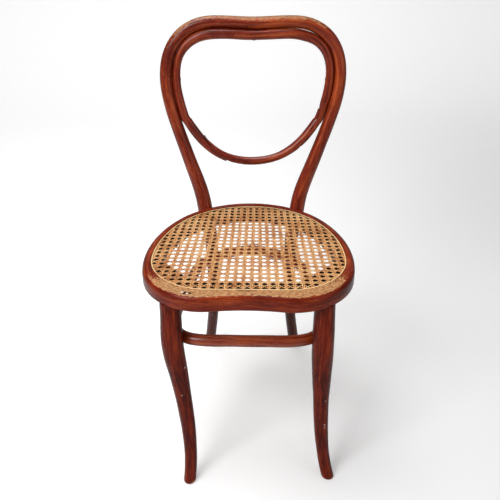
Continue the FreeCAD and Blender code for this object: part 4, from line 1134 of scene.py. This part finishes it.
def ribbon(path, profile, half_width, heights, closed=False):
    """A flat strip along a level path: corners, faces, straight places and edge shares."""
    across = across_path(path, closed)
    corners = np.zeros((len(path), len(profile), 3))
    corners[..., :2] = path[:, None] + across[:, None] * (profile[:, 0] * half_width)[None, :, None]
    corners[..., 2] = heights
    straight = np.zeros_like(corners)
    straight[..., 0] = profile[:, 0] * half_width
    straight[..., 2] = lengths_along(path, closed)[:, None]
    faces = tube_faces(len(path), len(profile), closed)
    edges = np.tile(np.abs(profile[:, 0]), len(path))
    return corners.reshape(-1, 3), faces, straight.reshape(-1, 3), edges


def strand_parts(path, height, width, seed):
    """One strand along a path, with its own width, tilt and grain."""
    rng = np.random.default_rng(seed)
    half_width = width * rng.uniform(*WIDTH_SPREAD) / 2
    tilt = rng.uniform(-TILT, TILT)
    heights = height[:, None] + STRIP[:, 1] * STRAND_THICK / 2 + STRIP[:, 0] * tilt
    corners, faces, straight, edges = ribbon(path, STRIP, half_width, heights)
    return corners, faces, straight + rng.uniform(0, GRAIN_SHIFT, 3), edges


def strand_piece(name, node, strands):
    """All strands of one direction as one piece; a strand is a path, heights and width."""
    made = [strand_parts(*strand, seed + 100 * len(name)) for seed, strand in enumerate(strands)]
    points, sides, straight, edges = zip(*made)
    corners, faces = joined(list(zip(points, sides)))
    return new_piece(name, node, "cane", corners, faces, np.vstack(straight), np.concatenate(edges))


print("strip corners:", len(STRIP))

# %% [markdown]
# ### Over and under
# Where two pairs cross, the left strand of one pair lies over the front strand of the
# other and under the rear one, and its twin does the opposite. That locks the weave.
# Each strand's ends come down to the ledge, where the binding covers them.

# %% Weave the pairs
STRAND_STEP = 1.15
SHORTEST_RUN = 8
CROSSING_SPREAD = 1.9
END_FALL, END_FALL_REACH = 0.75, 4.0


def inside_run(path):
    """The stretch of a path that lies inside the strand edge, or nothing."""
    chosen = np.nonzero(inside_outline(path, STRAND_EDGE))[0]
    return path[chosen[0]: chosen[-1] + 1] if len(chosen) > SHORTEST_RUN else None


def over_and_under(places, pairs, first):
    """A wave that goes one way over a pair's first strand, and the other way at its twin."""
    centres = np.column_stack([pairs - PAIR_HALF_GAP, pairs + PAIR_HALF_GAP]).ravel()
    signs = np.tile([first, -first], len(pairs))
    gap = (places[:, None] - centres[None, :]) / CROSSING_SPREAD
    return WEAVE_LIFT * (signs[None, :] * np.exp(-gap**2)).sum(axis=1)


def woven(path, wave, width):
    """One strand: its path, its heights with both ends brought down, and its width."""
    length = lengths_along(path)
    near = np.minimum(length, length[-1] - length)
    return path, WEAVE_MIDDLE + wave - END_FALL * np.exp(-((near / END_FALL_REACH) ** 2)), width


def column_strands(side):
    """One strand of each front-to-back pair: side -1 is the left one."""
    made = []
    row = np.arange(-3, ROWS + 1, STRAND_STEP / ROW_PITCH)
    pairs = on_weave(0, np.arange(1, ROWS))[1]
    for index in range(-COLUMNS, COLUMNS):
        x, y = on_weave(index + 0.5, row)
        path = inside_run(np.column_stack([x + side * PAIR_HALF_GAP, y]))
        if path is not None:
            made.append(woven(path, over_and_under(path[:, 1], pairs, -side), STRAND_WIDTH))
    return made


def row_strands(side):
    """One strand of each side-to-side pair: side -1 is the front one."""
    made = []
    column = np.arange(-COLUMNS - 1, COLUMNS + 1, STRAND_STEP / PITCH_REAR)
    for index in range(2, ROWS):
        x, y = on_weave(column, np.full(len(column), float(index)))
        path = inside_run(np.column_stack([x, y + side * PAIR_HALF_GAP]))
        pairs = on_weave(np.arange(-COLUMNS, COLUMNS) + 0.5, index)[0]
        if path is not None:
            made.append(woven(path, over_and_under(path[:, 0], pairs, side), STRAND_WIDTH))
    return made


print("strands in one layer front to back:", len(column_strands(1)))

# %% [markdown]
# ### The diagonals
# The diagonals slip between the pairs: over the side-to-side pairs and under the
# front-to-back ones in one direction, and the other way round in the other. They are
# single strands, a little narrower. Each layer then becomes one piece.

# %% Weave the diagonals
DIAGONAL_WAVE, DIAGONAL_WIDTH, DIAGONAL_SLOPE = 0.55, STRAND_WIDTH * 0.85, 1.45


def diagonal_strands(side):
    """Single strands that cross the pairs half way between their own crossings."""
    made = []
    row = np.arange(-3, ROWS + 1, STRAND_STEP / ROW_PITCH / DIAGONAL_SLOPE)
    for index in range(-COLUMNS - ROWS, COLUMNS + ROWS):
        x, y = on_weave(index + side * row, row)
        path = inside_run(np.column_stack([x, y]))
        if path is not None:
            count = (path[:, 1] + CANE_FRONT_REACH) / ROW_PITCH
            wave = DIAGONAL_WAVE * (side * np.cos(2 * math.pi * count))
            made.append(woven(path, wave, DIAGONAL_WIDTH))
    return made


LAYERS = [
    ("cane_left_of_pairs", "cane_lengthwise_first", column_strands(-1)),
    ("cane_right_of_pairs", "cane_lengthwise_second", column_strands(1)),
    ("cane_front_of_pairs", "cane_crosswise_second", row_strands(-1)),
    ("cane_rear_of_pairs", "cane_crosswise_first", row_strands(1)),
    ("cane_leaning_left", "cane_diagonal_left", diagonal_strands(-1)),
    ("cane_leaning_right", "cane_diagonal_right", diagonal_strands(1)),
]
cane_pieces = [strand_piece(name, node, strands) for name, node, strands in LAYERS]
print("strands woven:", sum(len(strands) for name, node, strands in LAYERS))

# %% [markdown]
# ### Binding
# A wider strip of cane lies round the edge and covers the strands' ends and the holes.
# On the real chair a thin strand ties it down at each hole; those ties are too fine to
# see in the photograph and are left out.

# %% Binding
BINDING_GAP, BINDING_WIDTH, BINDING_THICK = 0.7, 2.6, 0.8
BINDING_BOTTOM = LEDGE + 2.45
BINDING_SEED, BINDING_UNEVEN = 51, 0.12
BINDING_STRIP = np.array([(-1, -0.9), (-1, 0.1), (-0.7, 0.8), (0, 1.0), (0.7, 0.8), (1, 0.1), (1, -0.9)])


def make_binding():
    """The flat strip round the cane."""
    middle = cane_outline(BINDING_GAP + BINDING_WIDTH / 2)
    lift = hand_made(lengths_along(middle, closed=True), 0.3, BINDING_SEED, BINDING_UNEVEN)
    heights = BINDING_BOTTOM + BINDING_THICK / 2 * (1 + BINDING_STRIP[:, 1]) + lift[:, None]
    parts = ribbon(middle, BINDING_STRIP, BINDING_WIDTH / 2, heights, closed=True)
    return new_piece("cane_binding_strip", "cane_binding", "binding_cane", *parts)


binding_strip = make_binding()
print("binding corners:", len(binding_strip.data.vertices))

# %% [markdown]
# ## Materials as recipes
# A material is a list of steps, each a shader node. Drawn by hand in the editor it would
# be a large net; written as steps, each recipe below reads from top to bottom. A small
# helper adds a node, sets its values and joins what feeds it.


# %% Steps
class Steps:
    """A material whose nodes are added one step at a time."""

    def __init__(self, name):
        self.material = bpy.data.materials.new(name)
        self.material.use_nodes = True
        self.tree = self.material.node_tree
        self.shader = self.tree.nodes["Principled BSDF"]

    def feed(self, socket, value):
        """Joins a socket to another one, or sets its value."""
        if isinstance(value, bpy.types.NodeSocket):
            self.tree.links.new(value, socket)
        else:
            socket.default_value = value

    def step(self, kind, out, inputs, **settings):
        """Adds a node and gives back one of its outputs."""
        node = self.tree.nodes.new("ShaderNode" + kind)
        for word, value in settings.items():
            setattr(node, word, value)
        for word, value in inputs.items():
            self.feed(node.inputs[word], value)
        return node.outputs[out]

    def finish(self, **inputs):
        """Feeds the surface shader; a word's underscores stand for spaces."""
        for word, value in inputs.items():
            self.feed(self.shader.inputs[word.replace("_", " ")], value)
        return self.material

    def math(self, operation, one, two):
        """One sum on two numbers."""
        return self.step("Math", 0, {0: one, 1: two}, operation=operation)

    def total(self, *terms):
        """Several values added up, each times its share."""
        whole, *others = [self.math("MULTIPLY", value, share) for value, share in terms]
        for other in others:
            whole = self.math("ADD", whole, other)
        return whole

    def left_of_one(self, value):
        """1 less a value."""
        return self.math("SUBTRACT", 1.0, value)


print("kinds of plain step:", sum(callable(part) for part in vars(Steps).values()))

# %% [markdown]
# ### Places, patterns and colours
# A finish is put together from a few questions that come back in every recipe: where is
# this spot, what pattern lies there, and which colour or height does that give?


# %% Recipe helper
class Recipe(Steps):
    """The steps that wood, cane, steel and paper are made of."""

    def in_the_room(self):
        """The place on the standing chair, in metres."""
        return self.step("TexCoord", "Object", {})

    def remembered(self):
        """The place that each corner remembers from before the bend."""
        return self.step("Attribute", "Vector", {}, attribute_name=STRAIGHT)

    def marked(self, name):
        """The number that each corner keeps under a name."""
        return self.step("Attribute", "Fac", {}, attribute_name=name)

    def stretched(self, vector, scale):
        """A place scaled apart in each direction, to draw out a pattern."""
        return self.step("Mapping", 0, {"Vector": vector, "Scale": scale})

    def noise(self, vector, scale, detail, rough):
        """Cloudy variation."""
        return self.step(
            "TexNoise", "Fac", {"Vector": vector, "Scale": scale, "Detail": detail, "Roughness": rough}
        )

    def grain(self, place, drawn, scale, detail, rough):
        """Variation drawn out along the stick: the smaller drawn is, the longer its streaks."""
        return self.noise(self.stretched(place, (1, 1, drawn)), scale, detail, rough)

    def between(self, value, low, high):
        """0 below low, 1 above high, and smooth in between."""
        return self.step(
            "MapRange", 0, {"Value": value, "From Min": low, "From Max": high}, interpolation_type="SMOOTHSTEP"
        )

    def past(self, axis, low, high):
        """0 before a place along one axis of the room, 1 past another."""
        return self.between(self.step("SeparateXYZ", axis, {0: self.in_the_room()}), low, high)

    def facing_up(self):
        """How much the surface looks upward, from 0 to 1."""
        normal = self.step("NewGeometry", "Normal", {})
        return self.math("MAXIMUM", self.step("SeparateXYZ", "Z", {0: normal}), 0.0)

    def colours(self, value, stops):
        """A colour read off a scale of named stops."""
        node = self.tree.nodes.new("ShaderNodeValToRGB")
        self.feed(node.inputs["Fac"], value)
        ramp = node.color_ramp
        while len(ramp.elements) < len(stops):
            ramp.elements.new(0.5)
        for element, (place, colour) in zip(ramp.elements, stops):
            element.position = place
            element.color = (*colour, 1.0)
        return node.outputs["Color"]

    def mix(self, share, one, two):
        """Two colours mixed."""
        node = self.tree.nodes.new("ShaderNodeMix")
        node.data_type = "RGBA"
        self.feed(node.inputs["Factor"], share)
        for socket, value in ((node.inputs[6], one), (node.inputs[7], two)):
            self.feed(socket, value if isinstance(value, bpy.types.NodeSocket) else (*value, 1.0))
        return node.outputs[2]

    def bump(self, height, distance, strength):
        """A surface raised by a height, in metres of distance."""
        return self.step("Bump", "Normal", {"Height": height, "Distance": distance, "Strength": strength})


print("kinds of step for a finish:", sum(callable(part) for part in vars(Recipe).values()))

# %% [markdown]
# ## Stained and varnished beech
# Beech is pale with fine dark flecks; here it wears a mahogany stain under many coats
# of varnish. The stain soaks in unevenly and follows the fibres, so the colour comes
# from noise drawn out along the stick. Where hands and clothes have rubbed for years the
# stain has gone and bare tan wood shows.

# %% Wood recipe
DARK_STAIN_AND_SHADE = (0.022, 0.0032, 0.0015)
DEEP_RED = (0.088, 0.0075, 0.0026)
RED_BROWN = (0.200, 0.0190, 0.0050)
ORANGE_LIGHT = (0.46, 0.085, 0.018)
BOW_WORN_AND_SHEEN = ((0.25, 0.105, 0.036), (0.40, 0.185, 0.070))
RIM_WORN = ((0.33, 0.165, 0.062), (0.58, 0.320, 0.145))
CHALK_AND_GLINT = (0.75, 0.72, 0.66)
NEAR_BLACK = (0.010, 0.005, 0.003)
VARNISH = {"Coat_Weight": 0.03, "Coat_Roughness": 0.15}


def stained(r, place, lift):
    """The stain's colour, drawn out along the fibres, and the noises that made it."""
    fibres = r.grain(place, 0.035, 720, 5, 0.65)
    bands = r.grain(place, 0.06, 190, 3, 0.5)
    clouds = r.grain(place, 0.30, 26, 4, 0.6)
    tone = r.math("ADD", r.total((fibres, 0.42), (bands, 0.30), (clouds, 0.34)), lift)
    wood = r.colours(
        tone, [(0.37, DARK_STAIN_AND_SHADE), (0.465, DEEP_RED), (0.555, RED_BROWN), (0.69, ORANGE_LIGHT)]
    )
    flecks = r.between(r.grain(place, 0.12, 850, 2, 0.5), 0.60, 0.68)
    return r.mix(r.math("MULTIPLY", flecks, 0.6), wood, DARK_STAIN_AND_SHADE), fibres, clouds


def mark_share(r, across, centre, size):
    """1 inside a small mark; across says which directions of the room count."""
    place = r.stretched(r.in_the_room(), across)
    middle = [step * (part + shift) * MM for step, part, shift in zip(across, centre, (0, SEAT_SHIFT, 0))]
    rough = r.noise(r.in_the_room(), 900, 2, 0.6)
    away = r.step("VectorMath", "Value", {0: place, 1: middle}, operation="DISTANCE")
    away = r.math("ADD", away, r.math("MULTIPLY", r.math("SUBTRACT", rough, 0.5), size * MM * 1.6))
    return r.left_of_one(r.between(away, size * MM * 0.6, size * MM * 1.1))


def wood_recipe(name, wear_and_sheen_share, lift, shine, inside=None, shade_below=None, worn=BOW_WORN_AND_SHEEN, marks=()):
    """Stained beech, with wear, painted highlight and painted shade where its arguments ask for them."""
    r = Recipe(name)
    place = r.remembered()
    wood, fibres, clouds = stained(r, place, lift)
    speckle = r.grain(place, 0.45, 300, 4, 0.65)
    patchy = r.total((speckle, 1.2), (clouds, 0.5))
    # Bare, lighter wood: real wear, and on the ring, the hoop and the left side of the bow partly a painted
    # highlight.
    bare_and_sheen = r.between(r.math("ADD", wear_and_sheen_share(r), patchy), 1.29, 1.45)
    bare_and_sheen_wood = r.colours(speckle, [(0.34, RED_BROWN), (0.44, worn[0]), (0.60, worn[1])])
    colour = r.mix(r.math("MULTIPLY", bare_and_sheen, 0.9), wood, bare_and_sheen_wood)
    # Painted shade: the wood below the seat is darkened towards the darkest stain.
    if shade_below:
        low = r.left_of_one(r.past("Z", *shade_below))
        colour = r.mix(r.math("MULTIPLY", low, 0.75), colour, DARK_STAIN_AND_SHADE)
    for across, centre, size, paint in marks:
        colour = r.mix(mark_share(r, across, centre, size), colour, paint)
    # Painted shade: the rim's ledge, the opening's wall and its underside are painted near black, partly as
    # dark dirt.
    if inside:
        colour = r.mix(r.marked(inside), colour, NEAR_BLACK)
    # Painted shade: edges that turn away from the camera are darkened towards the darkest colour.
    painted_edge_shade = r.between(r.step("LayerWeight", "Facing", {"Blend": 0.5}), 0.42, 0.98)
    colour = r.mix(r.math("MULTIPLY", painted_edge_shade, 0.8), colour, DARK_STAIN_AND_SHADE)
    gloss = r.math("ADD", r.total((clouds, 0.20), (bare_and_sheen, 0.30)), 0.18)
    normal = r.bump(r.total((fibres, 0.4), (clouds, 0.6)), 0.0006, 0.35)
    return r.finish(Base_Color=colour, Roughness=gloss, Normal=normal, Specular_IOR_Level=shine, **VARNISH)


print("stain colours from dark to light:", [DARK_STAIN_AND_SHADE, DEEP_RED, RED_BROWN, ORANGE_LIGHT])

# %% [markdown]
# ### Where the wood is worn
# Each kind of stick says, in metres on the standing chair, where it is rubbed bare; on
# the ring, the hoop and the left side of the bow the lighter wood is partly a painted
# highlight. The wear isn't painted on: it is added to a noise, and bare wood shows where
# the sum is high, so its edge is ragged as on a real chair. Marks are small chips and
# pale specks at places of their own; one speck, at the top of the sitter's left front
# leg, is a painted glint of a nail head.

# %% Wear and marks
TOP_OF_BOW, SHOULDERS = (0.835, 0.868), (0.66, 0.86)
LEFT_EDGE, LEFT_HEIGHTS = (-0.165, -0.125), (0.60, 0.74)
FOOT_TIPS = (0.002, 0.016)
FRONT_OF_RIM = (-0.185, -0.105)
# Heights between which the back below the seat fades into painted shade.
SHADED_LEGS = (0.30, 0.46)


def back_wear_and_sheen(r):
    """The top of the bow is rubbed by hands, and its left shoulder too, where the lighter wood is partly a
    painted highlight.
    """
    up = r.math("POWER", r.facing_up(), 0.7)
    top = r.math("MULTIPLY", r.past("Z", *TOP_OF_BOW), up)
    shoulder = r.math("MULTIPLY", r.past("Z", *SHOULDERS), up)
    left = r.math("MULTIPLY", r.left_of_one(r.past("X", *LEFT_EDGE)), r.past("Z", *LEFT_HEIGHTS))
    return r.total((top, 0.40), (shoulder, 0.24), (left, 0.33))


def leg_wear(r):
    """Only the tips of the feet are worn."""
    return r.math("MULTIPLY", r.left_of_one(r.past("Z", *FOOT_TIPS)), 0.42)


def wear_and_top_sheen(r):
    """The hoop and ring are touched less; their lighter upper faces are partly a painted highlight."""
    return r.math("MULTIPLY", r.facing_up(), 0.16)


def rim_wear(r):
    """The top of the rim is worn where people sit, most of all in front."""
    front = r.left_of_one(r.past("Y", *FRONT_OF_RIM))
    amount = r.math("ADD", r.math("MULTIPLY", front, 0.44), 0.28)
    return r.math("MULTIPLY", r.math("POWER", r.facing_up(), 3.2), amount)


FROM_FRONT, FROM_ABOVE = (1, 0, 1), (1, 1, 0)
BACK_MARKS = [(FROM_FRONT, (-106.5, 0, 115.5), 1.2, CHALK_AND_GLINT)]
LEG_MARKS = [
    (FROM_FRONT, (-127.6, 0, 280.5), 1.3, CHALK_AND_GLINT), (FROM_FRONT, (-135, 0, 216.5), 1.2, CHALK_AND_GLINT),
    (FROM_FRONT, (161.8, 0, 201.5), 1.2, CHALK_AND_GLINT), (FROM_FRONT, (162.5, 0, 139.5), 1.5, CHALK_AND_GLINT),
    # The second mark on the next line, at the top of the sitter's left front leg, is a painted glint of a nail
    # head.
    (FROM_FRONT, (162.8, 0, 133.0), 1.2, CHALK_AND_GLINT), (FROM_FRONT, (137.3, 0, 426.5), 1.1, CHALK_AND_GLINT),
]
RIM_MARKS = [
    (FROM_ABOVE, (-118.3, -181.5, 0), 5.0, NEAR_BLACK), (FROM_ABOVE, (-108.0, -182.5, 0), 4.0, NEAR_BLACK),
    (FROM_ABOVE, (-113.5, -184.0, 0), 2.2, CHALK_AND_GLINT), (FROM_ABOVE, (-122.5, -179.5, 0), 2.4, CHALK_AND_GLINT),
]
# The ring and hoop get a lighter stain than the legs: partly a painted highlight on their upward faces.
back_wood = wood_recipe("stained_beech_back", back_wear_and_sheen, 0.04, 0.3, shade_below=SHADED_LEGS, marks=BACK_MARKS)
leg_wood = wood_recipe("stained_beech_legs", leg_wear, -0.02, 0.1, marks=LEG_MARKS)
ring_wood = wood_recipe("stained_beech_ring", wear_and_top_sheen, 0.06, 0.5)
hoop_wood = wood_recipe("stained_beech_hoop", wear_and_top_sheen, 0.02, 0.35)
rim_wood = wood_recipe("stained_beech_rim", rim_wear, 0.015, 0.13, PAINTED_SHADE, worn=RIM_WORN, marks=RIM_MARKS)
print("steps in the rim's recipe:", len(rim_wood.node_tree.nodes))

# %% [markdown]
# ## Cane
# Split cane keeps the palm's own glassy skin on its upper face: hard, smooth, honey
# coloured, darker in places where a leaf grew, with fine lines along it. Both edges of
# each strand are painted dark: painted shade between the strands.

# %% Cane recipe
CANE_SHADOW = (0.19, 0.048, 0.012)
CANE_HONEY = (0.60, 0.250, 0.075)
CANE_LIGHT = (0.85, 0.54, 0.25)
BINDING_CREAM = (0.80, 0.55, 0.27)
EDGE_SHADE_COLOUR = (0.035, 0.010, 0.004)


def cane_recipe(name, dark, middle, light, edge_shade_from):
    """Old glossy cane between three tones, with painted shade along its edges."""
    r = Recipe(name)
    place = r.remembered()
    lines = r.grain(place, 0.02, 2600, 3, 0.6)
    patches = r.grain(place, 0.25, 150, 4, 0.65)
    broad = r.noise(r.in_the_room(), 14, 3, 0.5)
    tone = r.total((lines, 0.25), (patches, 0.6), (broad, 0.22))
    colour = r.colours(tone, [(0.41, dark), (0.52, middle), (0.63, light)])
    # Painted shade: both edges of each strand, and of the binding, are darkened.
    edge_shade = r.between(r.marked(TOWARD_EDGE), edge_shade_from, 1.0)
    colour = r.mix(r.math("MULTIPLY", edge_shade, 0.9), colour, EDGE_SHADE_COLOUR)
    normal = r.bump(lines, 0.0002, 0.5)
    gloss = r.math("ADD", r.math("MULTIPLY", patches, 0.2), 0.30)
    return r.finish(Base_Color=colour, Roughness=gloss, Normal=normal, Specular_IOR_Level=0.35)


cane_skin = cane_recipe("honey_cane", CANE_SHADOW, CANE_HONEY, CANE_LIGHT, 0.55)
binding_skin = cane_recipe("binding_cane", CANE_HONEY, CANE_LIGHT, BINDING_CREAM, 0.75)
print("steps in the cane's recipe:", len(cane_skin.node_tree.nodes))

# %% [markdown]
# ## Old steel
# The screws and bolts are plain steel that has dulled and browned.

# %% Steel recipe
RUSTY_STEEL, DULL_STEEL = (0.17, 0.13, 0.11), (0.30, 0.27, 0.25)


def steel_recipe():
    """Dull, slightly rusted steel."""
    r = Recipe("aged_steel")
    spots = r.noise(r.in_the_room(), 420, 4, 0.6)
    colour = r.colours(spots, [(0.4, RUSTY_STEEL), (0.62, DULL_STEEL)])
    rough = r.math("ADD", r.math("MULTIPLY", spots, 0.4), 0.25)
    normal = r.bump(spots, 0.0002, 0.4)
    return r.finish(Base_Color=colour, Metallic=0.9, Roughness=rough, Normal=normal)


aged_steel = steel_recipe()
print("steps in the steel's recipe:", len(aged_steel.node_tree.nodes))

# %% [markdown]
# ## Dress every piece
# Pieces cut from the same wood share a recipe, but each kind of stick has its own wear.

# %% Dress every piece
WARDROBE = [
    (back_wood, [back_stick]), (hoop_wood, hoop_pieces), (leg_wood, front_legs), (ring_wood, [ring_stick]),
    (rim_wood, [seat_rim]), (cane_skin, cane_pieces), (binding_skin, [binding_strip]),
    (aged_steel, steel_pieces),
]
for material, pieces in WARDROBE:
    for piece in pieces:
        piece.data.materials.append(material)
print("pieces dressed:", sum(len(pieces) for material, pieces in WARDROBE))

# %% [markdown]
# ## The studio
# The photograph is a plain product shot: a white sweep of paper, large soft lights, and
# faint grey shadows. The sweep is one sheet that curves up behind the chair, so no line
# shows where the floor ends.

# %% Paper sweep
SWEEP_REACH, SWEEP_REAR, SWEEP_RADIUS, SWEEP_HEIGHT = 6.0, 2.2, 1.6, 5.0


def make_sweep():
    """Floor and backdrop in one curved sheet."""
    profile = [(-SWEEP_REACH, 0.0)]
    for turn in np.linspace(0, math.pi / 2, 16):
        profile.append((SWEEP_REAR + SWEEP_RADIUS * math.sin(turn), SWEEP_RADIUS * (1 - math.cos(turn))))
    profile.append((SWEEP_REAR + SWEEP_RADIUS, SWEEP_HEIGHT))
    corners = [(x, y, z) for x in (-SWEEP_REACH, SWEEP_REACH) for y, z in profile]
    count = len(profile)
    faces = [(i, count + i, count + i + 1, i + 1) for i in range(count - 1)]
    mesh = bpy.data.meshes.new("paper_sweep")
    mesh.from_pydata(corners, [], faces)
    mesh.polygons.foreach_set("use_smooth", [True] * len(mesh.polygons))
    sweep = bpy.data.objects.new("paper_sweep", mesh)
    bpy.context.scene.collection.objects.link(sweep)
    return sweep


sweep = make_sweep()
print("sweep corners:", len(sweep.data.vertices))

# %% [markdown]
# ### The paper's white
# The paper is brightened only where it is seen itself, so it turns almost white without
# any more light falling on the chair. Its right side is a little greyer, as in the
# photograph: the tone fans out from a fixed spot on the floor in front of the chair.

# %% Paper
PAPER_WHITE = (0.84, 0.84, 0.84)
PAPER_SHADE = (0.70, 0.70, 0.70)
FAN_FRONT, FAN_NEAREST = 1.83, 0.6
FAN_EDGES = (-0.12, 0.36)
FAR_PAPER, FAR_GLOW, FAR_SIDE_GLOW = (2.5, 5.2), 0.20, 0.12
PAPER_GLOW, PAPER_SIDE_LOSS = 0.33, 0.16


def seen_directly(r):
    """1 for rays that come from the camera, 0 for light and gloss on the chair."""
    path = r.tree.nodes.new("ShaderNodeLightPath")
    return r.math("MAXIMUM", path.outputs["Is Camera Ray"], path.outputs["Is Transmission Ray"])


def paper_recipe():
    """Matte paper with a little extra white where it is seen."""
    r = Recipe("studio_paper")
    across = r.step("SeparateXYZ", "X", {0: r.in_the_room()})
    forward = r.step("SeparateXYZ", "Y", {0: r.in_the_room()})
    ahead = r.math("MAXIMUM", r.math("ADD", forward, FAN_FRONT), FAN_NEAREST)
    # Painted shade and painted light: the paper's right side is painted greyer than its left, and the far
    # paper is painted brighter.
    side = r.between(r.math("DIVIDE", across, ahead), *FAN_EDGES)
    far_glow = r.math("ADD", FAR_GLOW, r.math("MULTIPLY", side, FAR_SIDE_GLOW))
    far = r.math("MULTIPLY", r.between(ahead, *FAR_PAPER), far_glow)
    near = r.math("SUBTRACT", PAPER_GLOW, r.math("MULTIPLY", side, PAPER_SIDE_LOSS))
    return r.finish(
        Base_Color=r.colours(side, [(0.0, PAPER_WHITE), (1.0, PAPER_SHADE)]),
        Roughness=0.95,
        Specular_IOR_Level=0.1,
        Emission_Color=(1.0, 1.0, 1.0, 1.0),
        Emission_Strength=r.math("MULTIPLY", r.math("ADD", near, far), seen_directly(r)),
    )


sweep.data.materials.append(paper_recipe())
print("paper white and shade:", PAPER_WHITE[0], PAPER_SHADE[0])

# %% [markdown]
# ### Lights
# One large soft light stands high on the left, a second one hangs over the chair and
# draws the pale lines on the varnish, and a weak one lifts the right side. The air
# gives the even light of a white room.

# %% Lights and world
LAMPS = [
    ("key_softbox", (-1.5, -1.7, 2.5), 1.4, 50.0),
    ("fill_softbox", (1.9, -1.3, 1.7), 1.8, 8.0),
    ("top_softbox", (-0.5, 0.3, 2.8), 1.4, 48.0),
]
AIM = Vector((0.0, 0.0, 0.45))
STUDIO_AIR = 0.22


def make_lamp(name, place, width, power):
    """A square soft light that looks at the chair."""
    data = bpy.data.lights.new(name, "AREA")
    data.shape = "SQUARE"
    data.size = width
    data.energy = power
    lamp = bpy.data.objects.new(name, data)
    bpy.context.scene.collection.objects.link(lamp)
    lamp.location = place
    lamp.rotation_euler = (AIM - Vector(place)).to_track_quat("-Z", "Y").to_euler()
    return lamp


def make_world():
    """Even light from all round, as from the white walls of a studio."""
    world = bpy.data.worlds.new("studio_air")
    world.use_nodes = True
    background = world.node_tree.nodes["Background"]
    background.inputs["Color"].default_value = (1.0, 1.0, 1.0, 1.0)
    background.inputs["Strength"].default_value = STUDIO_AIR
    bpy.context.scene.world = world


lamps = [make_lamp(*row) for row in LAMPS]
make_world()
bpy.context.scene.view_settings.view_transform = "Standard"
print("lamps:", len(lamps))
